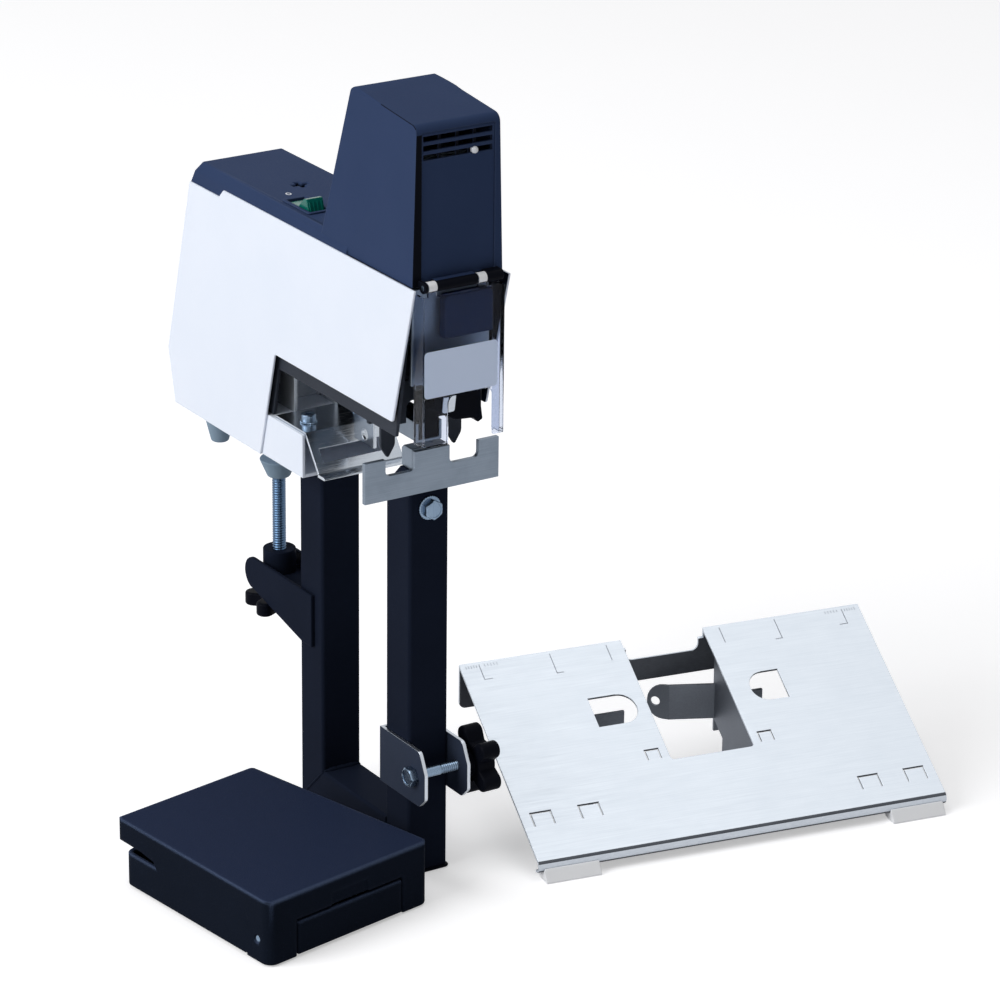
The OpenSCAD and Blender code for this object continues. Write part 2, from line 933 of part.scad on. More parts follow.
module rear_panel() {
  color(white_sheet)
    difference() {
      yz(-cover_in, cover_in)
        polygon([[rear_top, rear_z], [bulge_y, base_z + bulge_z], [bulge_y - rear_tuck, base_z],
          [bulge_y - rear_tuck - base_t, base_z], [bulge_y - base_t, base_z + bulge_z],
          [rear_top - base_t, rear_z]]);
      on_rear(inlet_rise)
        cube([inlet_w, inlet_h, 4 * base_t], center = true);
      on_rear(socket_rise)
        cylinder(d = socket_d, h = 4 * base_t, center = true);
    }
}

module power_inlet() {
  depth = 14;
  rim = 3;
  wall = 1.5;
  color(black_abs)
    on_rear(inlet_rise)
      difference() {
        union() {
          translate([-inlet_w / 2 + push_gap, -inlet_h / 2 + push_gap, -depth])
            cube([inlet_w - 2 * push_gap, inlet_h - 2 * push_gap, depth + over]);
          linear_extrude(2)
            rounded_square(inlet_w + 2 * rim, inlet_h + 2 * rim, rim);
        }
        translate([wall - inlet_w / 2, wall - inlet_h / 2, wall - depth])
          cube([inlet_w - 2 * wall, inlet_h - 2 * wall, depth + rim]);
      }
}

module pedal_socket() {
  depth = 10;
  rim = 1.5;
  wall = 2;
  color(black_abs)
    on_rear(socket_rise)
      difference() {
        union() {
          translate([0, 0, -depth])
            cylinder(d = socket_d - 2 * push_gap, h = depth + over);
          cylinder(d = socket_d + 2 * rim, h = 2);
        }
        translate([0, 0, wall - depth])
          cylinder(d = socket_d - 2 * wall - 2 * push_gap, h = depth + wall);
      }
}

// Head
module head_outline() {
  inset = 3;
  lean = 6;
  back = 13;
  polygon([[cover_front + cover_rake + inset, head_z], [cut_rear + inset, head_z],
    [cut_rear + inset + lean, base_top], [base_rear - inset - lean, base_top],
      [rear_top - back, rear_z],
    [step_y, rear_z], [step_y - inset, cover_top - inset], [front_y - inset, cover_top - inset]]);
}

module head_plate_left() {
  color(dark_plate)
    yz(-head_x1, -head_x0)
      head_outline();
}

module head_plate_right() {
  color(dark_plate)
    yz(head_x0, head_x1)
      head_outline();
}

block_z = front_top_z - block_h - head_drop;

module front_plate() {
  color(steel)
    box([-head_x0, front_y, guide_block_z + front_t], [head_x0, front_y + front_t, front_top_z]);
}

module front_block() {
  color(black_abs)
    xz(front_y - block_d, front_y)
      polygon(rounded([[-block_w / 4, block_z], [block_w * 3 / 4, block_z],
        [block_w * 3 / 4, block_z + block_h], [-block_w / 4, block_z + block_h]], [0, 0, 3,
          3]));
}

module tine_plate() {
  bridge = 12;
  arch_r = 4;
  root_r = 3;
  edge_r = 6;
  tip_r = 1;
  top = head_z + 2 * bridge;
  shoulder = head_z - slide_gap;
  x0 = tine_x - tine_w / 2;
  x1 = tine_x + tine_w / 2;
  tip = head_z - tine_len;
  arch_x = mag_w / 2 + tine_t;
  taper = 0.8 * tine_w;
  right = [[arch_x, top - bridge], [arch_x, shoulder], [x0, shoulder], [x0, tip + taper],
    [tine_x, tip],
    [x1, tip + taper], [x1, shoulder], [head_x0, shoulder], [head_x0, top]];
  radii = [arch_r, 0, root_r, edge_r, tip_r, edge_r, 0, 0, 0];
  back = [for (i = [len(right) - 1:-1:0]) i];
  left = [for (i = back) [-right[i][0], right[i][1]]];
  color(dark_plate)
    xz(tine_y, tine_y + tine_t)
      polygon(rounded(concat(right, left), concat(radii, [for (i = back) radii[i]])));
}

// Guide for the driver blade, behind the front plate
module driver_guide() {
  width = 28;
  depth = 12;
  slot = slide_gap;
  color(dark_plate)
    difference() {
      box([-width / 2, front_y + front_t, guide_block_z], [width / 2, drive_y + depth,
        guide_block_top]);
      box([-blade_w / 2 - slot, blade_y0 - slot, guide_block_z - over],
        [blade_w / 2 + slot, blade_y1 + slot, guide_block_top + over]);
    }
}

// Two hangers between the head plates that the magazine slides through
module magazine_guide() {
  hang_h = 26;
  hang_y = 38;
  hang_back = 20;
  hook = 2.2;
  thick = 3;
  neck = mag_w / 2 + thick + over;
  color(dark_plate)
    difference() {
      for (y = [drive_y + hang_y, drive_y + mag_len - hang_back])
        xz(y, y + thick) {
          translate([-head_x0, head_z + over])
            square([2 * head_x0, hang_h - head_lift]);
          translate([-neck, mag_z - slide_gap - hook])
            square([2 * neck, head_lift + hook + 2 * over]);
        }
      box([-mag_w / 2 - slide_gap, drive_y, mag_z - slide_gap],
        [mag_w / 2 + slide_gap, drive_y + mag_len, mag_z + mag_h + slide_gap]);
      box([-tab_t / 2 - slide_gap - over, drive_y, mag_z - hook - over],
        [tab_t / 2 + slide_gap + over, drive_y + mag_len, mag_z]);
    }
}

// Bright U-shaped strut on the base, with a top plate between the head plates
module head_support() {
  wall = 2;
  y0 = base_front + stop_flange + stop_t;
  y1 = y0 + strut_d;
  color(bright) {
    difference() {
      box([-strut_w / 2, y0, base_top], [strut_w / 2, y1, head_z + head_t]);
      box([wall - strut_w / 2, y0 - over, base_top - over],
        [strut_w / 2 - wall, y1 - wall, head_z + head_t + over]);
    }
    box([-head_x0, y0, head_z + head_t], [head_x0, y1, head_z + head_t + wall]);
  }
}

// Drive
module solenoid_yoke() {
  side = coil_d / 2 + over;
  color(steel)
    difference() {
      union() {
        box([-head_x0, drive_y - side, yoke_z - yoke_t], [head_x0, drive_y + side, yoke_z]);
        for (s = [-1, 1])
          translate([s * (side + yoke_t / 2), drive_y, yoke_z + (coil_len + 2 * over) / 2])
            cube([yoke_t, 1.4 * coil_d / 2, coil_len + 2 * over], center = true);
        box([-side - yoke_t, drive_y - side, yoke_z + coil_len + 2 * over],
          [side + yoke_t, drive_y + side, yoke_z + coil_len + 2 * over + yoke_t]);
      }
      rod_z([0, drive_y, yoke_z - yoke_t - over], plunger_d + 2 * run_fit, yoke_t + 2 * over);
    }
}

module solenoid_coil() {
  flange_t = 2.5;
  color("#8c4a2a")
    translate([0, drive_y, yoke_z])
      difference() {
        union() {
          cylinder(d = coil_d, h = flange_t);
          cylinder(d = coil_d - 4, h = coil_len + 2 * over);
          translate([0, 0, coil_len + 2 * over - flange_t])
            cylinder(d = coil_d, h = flange_t);
        }
        translate([0, 0, -over])
          cylinder(d = plunger_d + 2 * slide_gap, h = coil_len);
      }
}

module plunger() {
  color(zinc)
    difference() {
      union() {
        rod_z([0, drive_y, plunger_z], plunger_d, plunger_len);
        rod_z([0, drive_y, plunger_z], collar_d, collar_t);
      }
      box([-blade_w / 2, blade_y0, plunger_z - over], [blade_w / 2, blade_y1,
        plunger_z + blade_bite]);
    }
}

module driver_blade() {
  color(bright)
    box([-blade_w / 2, blade_y0, blade_rest], [blade_w / 2, blade_y1, plunger_z + blade_bite]);
}

module return_spring() {
  color(steel)
    translate([0, drive_y, 0])
      coil_spring(spring_d, spring_wire, spring_turns, guide_block_top, plunger_z);
}

// Magazine
module magazine_rail() {
  y0 = blade_y0 - slide_gap - nose_seat;
  y1 = drive_y + mag_len;
  slot = tab_t / 2 + slide_gap;
  color(steel)
    difference() {
      box([-mag_w / 2, y0, mag_z], [mag_w / 2, y1, mag_z + mag_h]);
      box([mag_t - mag_w / 2, y0 - over, mag_z + mag_t], [mag_w / 2 - mag_t, y1 + over,
        mag_z + mag_h + over]);
      box([mag_t - mag_w / 2, blade_y0 - slide_gap, mag_z - over],
        [mag_w / 2 - mag_t, blade_y1 + slide_gap, mag_z + mag_t + over]);
      box([-slot, drive_y + pusher_y - slide_gap, mag_z - over],
        [slot, drive_y + pusher_y + pusher_len + slide_gap, mag_z + mag_t + over]);
    }
}

module staple_strip() {
  w = mag_w / 2 - mag_t - push_gap;
  z0 = mag_z + mag_t;
  z1 = blade_rest - slide_gap;
  y0 = blade_y1 + slide_gap;
  color(zinc)
    difference() {
      box([-w, y0, z0], [w, y0 + strip_len, z1]);
      box([staple_wire - w, y0 - over, z0 - over], [w - staple_wire, y0 + strip_len + over,
        z1 - staple_wire]);
    }
}

// Black nose that carries the latch and closes the magazine's front
module magazine_nose() {
  y1 = blade_y0 - slide_gap;
  y0 = y1 - nose_d;
  w = mag_w / 2 - mag_t - push_gap;
  left = -mag_w / 2;
  right = nose_w - mag_w / 2;
  low = mag_z + mag_h + nose_lift;
  top = mag_z + nose_h;
  ear = 3;
  web = 4;
  arm_z = low + ear;
  face = [[left, low + 2 * ear], [0, low + 1], [right - 2 * ear, low], [right - ear, low - ear],
    [right, low - ear / 2], [right - 1, low + 2 * ear], [right - 1, top], [left, top]];
  color(black_abs) {
    xz(y0, y0 + 2 * nose_seat)
      polygon(rounded(face, [1, 2, 2, 1, 1, 2, 2, 2]));
    box([-w, y0 + nose_seat, arm_z], [w, y1, arm_z + web]);
    box([-w, y1 - nose_seat, mag_z + mag_t], [w, y1, arm_z + over]);
  }
}

module latch_tab() {
  y0 = blade_y0 - slide_gap - nose_d;
  wide = 8;
  tall = 9;
  lean = 1;
  drop = 0.5;
  color(bright)
    xz(y0 - 1, y0)
      translate([-wide, mag_z + nose_h - tall - drop])
        polygon(rounded([[-lean, 0], [wide - lean, 0], [wide, tall], [0, tall]], [1.5, 1.5, 0, 0]));
}

module staple_pusher() {
  w = mag_w / 2 - mag_t - push_gap;
  y0 = drive_y + pusher_y;
  low = mag_z - tab_drop;
  color(bright)
    difference() {
      union() {
        box([-w, y0, mag_z + mag_t], [w, y0 + pusher_len, blade_rest - slide_gap]);
        box([-tab_t / 2, y0, low], [tab_t / 2, y0 + pusher_len, mag_z + mag_t + over]);
      }
      rod_x([-tab_t, y0 + pusher_len * 0.45, low + 5.5], tab_hole, 2 * tab_t);
    }
}

// Moulded top
module tower_side(inset) {
  low = cover_top - (inset > 0 ? over : 0);
  shift = inset * sqrt(1 + tower_lean * tower_lean);
  r = max(tower_r - inset, 1);
  polygon(rounded([[tower_front + inset, low], [tower_foot + tower_lean * (deck_z - low) - shift,
    low],
    [tower_rear - shift + tower_lean * inset, tower_z1 - inset], [tower_front + inset,
      tower_z0 - inset]],
    [0, 0, r, r]));
}

module tower_face(inset) {
  low = cover_top - (inset > 0 ? over : 0);
  draft = (tower_foot_w - tower_w) / 2 / (tower_z1 - cover_top);
  foot = tower_foot_w / 2 - inset + draft * (cover_top - low);
  top = tower_w / 2 - inset;
  r = max(tower_r - 2 - inset, 0.5);
  polygon(rounded([[-foot, low], [foot, low], [top, tower_z1], [-top, tower_z1]], [0, 0, r, r]));
}

module tower_solid(inset) {
  intersection() {
    yz(-cover_w, cover_w)
      tower_side(inset);
    xz(tower_front - over, tower_foot + deck_w)
      tower_face(inset);
  }
}

module deck_solid(inset) {
  low = rear_z - (inset > 0 ? over : 0);
  side = deck_w / 2 - inset;
  flat_half = deck_flat / 2 - inset / 2;
  y0 = tower_rear;
  intersection() {
    yz(-cover_w, cover_w)
      polygon([[y0, cover_top - (inset > 0 ? over : 0)], [step_y - top_step + inset,
        cover_top - (inset > 0 ? over : 0)],
        [step_y + inset, low], [rear_top - inset, low], [deck_rear - inset, deck_z - inset],
        [y0, deck_z - inset]]);
    xz(y0, rear_top + over)
      polygon([[-side, low], [side, low], [side, cover_top + deck_side], [flat_half,
        deck_z - inset],
        [-flat_half, deck_z - inset], [-side, cover_top + deck_side]]);
  }
}

module top_cover() {
  ear_t = 2;
  clear_w = lug_w / 2 + slide_gap;
  color(dark_abs) {
    difference() {
      union() {
        tower_solid(0);
        deck_solid(0);
      }
      tower_solid(top_wall);
      deck_solid(top_wall);
      box([-panel_w / 2 - push_gap, tower_front - over, panel_z0 - push_gap],
        [panel_w / 2 + push_gap, tower_front + top_wall + over, panel_z1 + push_gap]);
      box([-cross_len / 2, cross_y - cross_w / 2, deck_z - top_wall - over],
        [cross_len / 2, cross_y + cross_w / 2, deck_z + over]);
      box([-cross_w / 2, cross_y - cross_len / 2, deck_z - top_wall - over],
        [cross_w / 2, cross_y + cross_len / 2, deck_z + over]);
      translate([-switch_x, switch_y, deck_z])
        cube([switch_w + 2 * push_gap, switch_len + 2 * push_gap, 3 * top_wall], center = true);
    }
    difference() {
      union() {
        guard_ear(-lug_left - clear_w - ear_t, ear_t);
        guard_ear(clear_w - lug_left, lug_left + lug_right - 2 * clear_w);
        guard_ear(lug_right + clear_w, lug_left - lug_right + ear_t);
      }
      rod_x([-deck_w, hinge_y, hinge_z], guard_pin_d + run_fit, 2 * deck_w);
    }
  }
}

// Hinge ear of the guard on the tower's lower front edge
module guard_ear(x, t) {
  yz(x, x + t) {
    translate([hinge_y, hinge_z])
      circle(r = lug_r);
    translate([hinge_y, cover_top])
      square([tower_front - hinge_y, hinge_z + lug_r - cover_top]);
    translate([hinge_y, cover_top])
      square([tower_front + top_wall - hinge_y, panel_z0 - cover_top - 2 * push_gap]);
  }
}

module front_panel() {
  pitch = (panel_w - 2) / vent_cols;
  color(dark_abs)
    xz(tower_front + panel_set, tower_front + panel_set + panel_t)
      difference() {
        translate([-panel_w / 2, panel_z0])
          square([panel_w, panel_h]);
        difference() {
          for (r = [0:vent_rows - 1], c = [0:vent_cols - 1])
            translate([1 + vent_bar / 2 - panel_w / 2 + c * pitch,
              panel_z1 - vent_pitch * (r + 1)])
              square([pitch - vent_bar, vent_h]);
          translate([lamp_x - lamp_pad / 2, lamp_z - lamp_pad / 2])
            square(lamp_pad);
        }
        translate([lamp_x, lamp_z])
          circle(d = lamp_d);
      }
}

module indicator_lamp() {
  color("#f2f4f4")
    translate([lamp_x, tower_front + panel_set + panel_t, lamp_z])
      rotate([90, 0, 0]) {
        cylinder(d = lamp_d - 2 * run_fit, h = panel_t + 0.2);
        translate([0, 0, panel_t + 0.2])
          intersection() {
            sphere(d = lamp_d - 2 * run_fit);
            cylinder(d = lamp_d, h = lamp_d);
          }
      }
}

// Power switch
pivot_z = deck_z - 4;

module switch_housing() {
  pocket_w = switch_w - 2 * switch_wall;
  pocket_len = switch_len - 2 * switch_wall;
  color(black_abs)
    translate([-switch_x, switch_y, deck_z])
      difference() {
        union() {
          linear_extrude(1)
            rounded_square(switch_w + 2 * bezel, switch_len + 2 * bezel, 1.5);
          translate([-switch_w / 2, -switch_len / 2, -switch_depth])
            cube([switch_w, switch_len, switch_depth + 0.5]);
        }
        translate([-pocket_w / 2, -pocket_len / 2, 3 - switch_depth])
          cube([pocket_w, pocket_len, switch_depth]);
        rod_x([-switch_w, 0, pivot_z - deck_z], rocker_pin + 2 * run_fit, 2 * switch_w);
      }
}

module power_rocker() {
  w = switch_w / 2 - switch_wall - slide_gap;
  len = switch_len / 2 - switch_wall - 2 * slide_gap - 0.4;
  color("#129a8c")
    translate([-switch_x, switch_y, pivot_z])
      rotate([-rocker_tilt, 0, 0]) {
        yz(-w, w)
          polygon([[-len, rocker_rise], [0, rocker_rise / 2 + 0.5], [len, rocker_rise],
            [len, -1], [3, -4],
            [-3, -4], [-len, -1]]);
        rod_x([-w - switch_wall, 0, 0], rocker_pin, 2 * (w + switch_wall));
      }
}

// Adjuster seen through the cross-shaped hole, with its board carried by the head plates
module power_adjuster() {
  board_t = 1.6;
  board_drop = 4;
  board_front = 18;
  board_rear = 22;
  stem_d = 14;
  stem_gap = 0.2;
  slot_len = 8;
  slot_w = 1.2;
  slot_deep = 2.2;
  board_z = rear_z - board_drop;
  color("#2d5a3c") {
    difference() {
      union() {
        box([-head_x0, cross_y - board_front, board_z - board_t],
          [head_x0, cross_y + board_rear, board_z]);
        rod_z([0, cross_y, board_z - over], stem_d, deck_z - top_wall - board_z - stem_gap);
      }
      box([-slot_len / 2, cross_y - slot_w / 2, deck_z - top_wall - slot_deep],
        [slot_len / 2, cross_y + slot_w / 2, deck_z]);
    }
  }
}

// Guard
module safety_guard() {
  x = guard_w / 2;
  arch_l = leg_left - x;
  arch_r = x - leg_right;
  color(clear, 0.35)
    difference() {
      union() {
        xz(guard_y, guard_y + guard_t)
          difference() {
            translate([-x, guard_bot])
              square([guard_w, guard_h]);
            polygon(rounded([[arch_l, guard_bot - over], [arch_r, guard_bot - over],
              [arch_r, guard_bot + arch_h], [arch_l, guard_bot + arch_h]], [0, 0, 5, 5]));
          }
        pair()
          box([x - guard_t, guard_y, guard_bot], [x, guard_y + guard_d, guard_top]);
        for (x_mid = [-lug_left, lug_right])
          yz(x_mid - lug_w / 2, x_mid + lug_w / 2) {
            translate([hinge_y, hinge_z])
              circle(r = lug_r);
            translate([guard_y, guard_top - over])
              square([guard_t, hinge_z - guard_top + over]);
          }
      }
      rod_x([-x, hinge_y, hinge_z], guard_pin_d + 2 * run_fit, guard_w);
    }
}

module guard_pin() {
  end = lug_left + lug_w / 2 + slide_gap + 2;
  color(zinc)
    rod_x([-end, hinge_y, hinge_z], guard_pin_d, 2 * end);
}

// Paper stop
stop_down = [-sin(stop_angle), -cos(stop_angle)];
stop_back = [cos(stop_angle), -sin(stop_angle)];
stop_bend = [base_front - 1, base_top + stop_t];
stop_foot = stop_bend + stop_slope * stop_down;

module paper_stop() {
  rear = base_front + stop_flange;
  screw_y = base_front + stop_screw_y;
  inner_low = stop_foot + stop_t * stop_back;
  inner_y = stop_bend[0] - (stop_t - stop_t * sin(stop_angle)) * tan(stop_angle) + stop_t * cos(stop_angle);
  w0 = stop_bend + window_at * stop_down;
  w1 = w0 + window_h * stop_down;
  slot_r = stop_screw / 2 + slide_gap;
  color(bright)
    difference() {
      yz(-stop_w / 2, stop_w / 2) {
        polygon([[rear, base_top], [rear, base_top + stop_t], stop_bend, stop_foot, inner_low,
          [inner_y, base_top]]);
        translate([stop_foot[0] - stop_lip, inner_low[1] - stop_t])
          square([stop_lip + stop_t * cos(stop_angle), stop_t + 0.2]);
        translate([stop_foot[0] - stop_lip, inner_low[1] - stop_t / 2])
          circle(r = stop_t / 2);
      }
      yz(-window_w / 2, window_w / 2)
        polygon([w0 - over * stop_back, w0 + (stop_t + over) * stop_back,
          w1 + (stop_t + over) * stop_back,
          w1 - over * stop_back]);
      for (s = [-1, 1]) {
        box([s * stop_pitch / 2 - slot_r, screw_y, base_top - over],
          [s * stop_pitch / 2 + slot_r, screw_y + stop_travel, base_top + stop_t + over]);
        for (y = [0, stop_travel])
          rod_z([s * stop_pitch / 2, screw_y + y, base_top - over], 2 * slot_r,
            stop_t + 2 * over);
      }
    }
}

module stop_screws() {
  z = base_top + stop_t + push_gap;
  head_d = 8.5;
  head_h = 4;
  key = 4;
  color(zinc)
    for (s = [-1, 1])
      translate([s * stop_pitch / 2, base_front + stop_screw_y, 0])
        difference() {
          union() {
            rod_z([0, 0, base_top - base_t - 2], stop_screw,
              z + over - base_top + base_t + 2);
            rod_z([0, 0, z], 2 * stop_screw, over);
            rod_z([0, 0, z + over], head_d, head_h);
          }
          translate([0, 0, z + over + head_h / 2])
            cylinder(d = key / cos(30), h = head_h, $fn = 6);
        }
}

// Table clamp
module clamp_arm() {
  y0 = post_pitch - half + arm_lap;
  end_r = arm_end / 2;
  end_y = clamp_y + 5;
  low = arm_top - arm_h;
  color(black_steel)
    difference() {
      union() {
        pair()
          yz(half, half + arm_t) {
            polygon([[y0, low], [post_pitch + 7, low], [end_y, arm_top - arm_end],
              [end_y, arm_top],
              [y0, arm_top]]);
            translate([end_y, arm_top - end_r])
              circle(r = end_r);
          }
        box([-half, post_pitch + half, web_top - web_t], [half, end_y + 5, web_top]);
        translate([0, clamp_y, web_top - over])
          cylinder(d = nut_d, h = nut_h + over);
      }
      rod_z([0, clamp_y, web_top - web_t - over], screw_d + 2 * run_fit,
        web_t + nut_h + 2 * over);
    }
}

module clamp_screw() {
  color(zinc)
    rod_z([0, clamp_y, knob_z0 + 2], screw_d, screw_top - knob_z0 - 2 - run_fit);
}

module clamp_pad() {
  color(rubber)
    difference() {
      translate([0, clamp_y, pad_z])
        cylinder(r1 = pad_low_r, r2 = pad_r, h = pad_h);
      rod_z([0, clamp_y, pad_z - over], screw_d + 2 * run_fit, pad_seat + over);
    }
}

module clamp_knob() {
  lobe_count = 5;
  color(black_abs)
    translate([0, clamp_y, knob_z0])
      difference() {
        union() {
          linear_extrude(knob_t - 3)
            rotate(knob_turn)
              lobes(knob_ring, knob_lobe, lobe_count);
          cylinder(d = 2 * screw_d, h = knob_t);
        }
        translate([0, 0, 2])
          cylinder(d = screw_d + 2 * push_gap, h = knob_t);
      }
}

// Post bracket
module ear_outline() {
  polygon(rounded([[bracket_in, bracket_z], [bracket_in, bracket_z + bracket_h],
    [ear_cut - ear_reach, bracket_z + bracket_h], [-ear_reach, bracket_z + bracket_h - 2 * ear_cut],
    [-ear_reach, bracket_z + ear_cut], [ear_cut - ear_reach, bracket_z]], [0, 0, 4, 3, 3, 3]));
}

module post_bracket() {
  color(black_steel)
    difference() {
      union() {
        pair()
          yz(bracket_in, bracket_out)
            ear_outline();
        box([-bracket_out, bracket_in, bracket_z], [bracket_out, bracket_in + bracket_t,
          bracket_z + bracket_h]);
      }
      rod_x([-tube, -ear_bolt, bracket_mid], bolt_d + 2 * run_fit, 2 * tube);
    }
}

module bracket_bolt() {
  color(zinc) {
    rod_x([-bracket_out, -ear_bolt, bracket_mid], bolt_d, bracket_out + bolt_end);
    translate([-bracket_out - bolt_head, -ear_bolt, bracket_mid])
      rotate([0, 90, 0])
        cylinder(d = bolt_af / cos(30), h = bolt_head, $fn = 6);
  }
}

module knob_washer() {
  color(zinc)
    difference() {
      rod_x([bracket_out, -ear_bolt, bracket_mid], washer_d, washer_t);
      rod_x([bracket_out - over, -ear_bolt, bracket_mid], bolt_d + 2 * run_fit,
        washer_t + 2 * over);
    }
}

module star_knob() {
  lobe_count = 5;
  color(black_abs)
    difference() {
      union() {
        translate([0, -ear_bolt, bracket_mid])
          yz(star_x1, star_x2)
            rotate(star_turn)
              lobes(star_ring, star_lobe, lobe_count);
        rod_x([star_x0, -ear_bolt, bracket_mid], 2 * star_hub_r, star_hub + over);
      }
      rod_x([star_x0 - over, -ear_bolt, bracket_mid], bolt_d + 2 * run_fit,
        bolt_end - star_x0 + over + push_gap);
    }
}

// Foot pedal, drawn about its own middle and turned on the floor
module on_pedal() {
  translate([pedal_x, pedal_y, 0])
    rotate([0, 0, pedal_yaw])
      children();
}

// Half width of the pedal at a place along it
function pedal_half(y) = (pedal_front_w + (pedal_rear_w - pedal_front_w) * (y / pedal_len + 0.5)) / 2;

module pedal_plan(inset, rear) {
  y0 = inset - pedal_len / 2;
  y1 = pedal_len / 2 - rear - inset;
  x0 = pedal_half(y0) - inset;
  x1 = pedal_half(y1) - inset;
  r = max(pedal_r - inset, 1);
  polygon(rounded([[-x0, y0], [x0, y0], [x1, y1], [-x1, y1]], [r, r, r, r]));
}

pedal_hinge_y = pedal_pin_y - pedal_len / 2;
pedal_floor = pedal_foot + 2.5;

// Front corners of the pedal's plan, where the treadle's legs go
module pedal_corners(more) {
  y0 = -pedal_len / 2;
  y1 = y0 + tread_leg_len + more;
  w = tread_leg_w + more;
  for (s = [-1, 1])
    polygon([[s * (pedal_half(y0) - w), y0 - over], [s * pedal_front_w, y0 - over],
      [s * pedal_front_w, y1], [s * (pedal_half(y1) - w), y1]]);
}

module pedal_base() {
  color(black_abs)
    on_pedal()
      difference() {
        translate([0, 0, pedal_foot])
          linear_extrude(pedal_base_h - pedal_foot)
            difference() {
              pedal_plan(0, pedal_step);
              pedal_corners(tread_leg_gap);
            }
        translate([0, 0, pedal_floor])
          linear_extrude(pedal_base_h)
            difference() {
              pedal_plan(pedal_wall, pedal_step);
              pedal_corners(tread_leg_gap + pedal_wall);
            }
        rod_x([-pedal_front_w, pedal_hinge_y, pedal_pin_z], pedal_pin_d + 2 * run_fit,
          2 * pedal_front_w);
      }
}

module pedal_feet() {
  spread = 12;
  color(rubber)
    on_pedal()
      for (sx = [-1, 1], sy = [-1, 1])
        translate([sx * (pedal_rear_w / 2 - spread), sy * (pedal_len / 2 - 2.6 * spread), 0])
          cylinder(r = spread / 2, h = pedal_foot);
}

module pedal_pin() {
  reach = pedal_half(pedal_hinge_y) - 0.6;
  color(zinc)
    on_pedal()
      rod_x([-reach, pedal_hinge_y, pedal_pin_z], pedal_pin_d, 2 * reach);
}

module pedal_treadle() {
  y = pedal_len / 2;
  roof = pedal_h - pedal_wall;
  recess_w = 26;
  leg_z = 0.7;
  color(black_abs)
    on_pedal()
      difference() {
        union() {
          intersection() {
            linear_extrude(2 * pedal_h)
              pedal_plan(0, 0);
            difference() {
              yz(-pedal_front_w, pedal_front_w)
                polygon(rounded([[-y, tread_z0], [y, tread_z1], [y,
                  pedal_h + treadle_rise], [-y, pedal_h]],
                  [0, 0, 3, 3]));
              linear_extrude(roof)
                pedal_plan(pedal_wall, 0);
            }
          }
          translate([0, 0, leg_z])
            linear_extrude(roof - over - leg_z)
              intersection() {
                pedal_plan(0, 0);
                pedal_corners(0);
              }
        }
        rod_x([-pedal_front_w, pedal_hinge_y, pedal_pin_z], pedal_pin_d + 2 * run_fit,
          2 * pedal_front_w);
        box([-recess_w / 2, -y - over, tread_z0 - over], [recess_w / 2, over - y, roof - 5]);
      }
}

module pedal_switch() {
  color("#4a3024")
    on_pedal()
      translate([-pedal_switch_size[0] / 2, pedal_switch_size[1], pedal_floor])
        cube(pedal_switch_size);
}

module pedal_spring() {
  color(steel)
    on_pedal()
      translate([0, pedal_spring_y, 0])
        coil_spring(spring_d, spring_wire, pedal_turns, pedal_floor, pedal_h - pedal_wall);
}

// Saddle table, drawn with its front edge along X and turned on the floor
module on_table() {
  translate([table_x, table_y, 0])
    rotate([0, 0, table_yaw])
      children();
}

// D-shaped hole with its flat side outwards
module dee(less) {
  r = dee_w / 2;
  x0 = dee_x + less + r;
  translate([x0, 0])
    circle(r = r);
  translate([x0, -r])
    square([dee_len - less - r, dee_w]);
}

// Slot round three sides of a lanced tongue
module lance(w, h) {
  gap = 0.8;
  difference() {
    square([w, h], center = true);
    translate([0, -gap])
      square([w - 2 * gap, h], center = true);
  }
}

// Height of the plate's underside at a place behind the front edge
function under(y) = table_front + y * tan(table_tilt) - table_t / cos(table_tilt);

// Openings in the sloping plate, drawn flat
module table_cuts() {
  tongue = [13, 9];
  small = [9, 7];
  left_v = 30;
  right_v = 18;
  edge_x = 9.5;
  polygon(rounded([[-saddle_w / 2, table_len + over], [-saddle_w / 2, table_len - saddle_len],
    [saddle_w / 2, table_len - saddle_len], [saddle_w / 2, table_len + over]], [0, 2, 2, 0]));
  for (s = [-1, 1]) {
    translate([0, table_len - dee_v])
      mirror([s < 0 ? 1 : 0, 0])
        dee(s < 0 ? 0 : dee_short);
    for (x = [table_w * 0.335, table_w * 0.45])
      translate([s * x, s < 0 ? left_v : right_v])
        lance(tongue[0], tongue[1]);
    translate([s * (saddle_w / 2 + edge_x), table_len - saddle_len + small[1] - 1.5])
      lance(small[0], small[1]);
  }
}

// Middle of the rolled front edge, into which the plate runs
bead_c = [bead_r, table_front + bead_r * (1 - sin(table_tilt)) * tan(table_tilt) - bead_r * cos(table_tilt)];

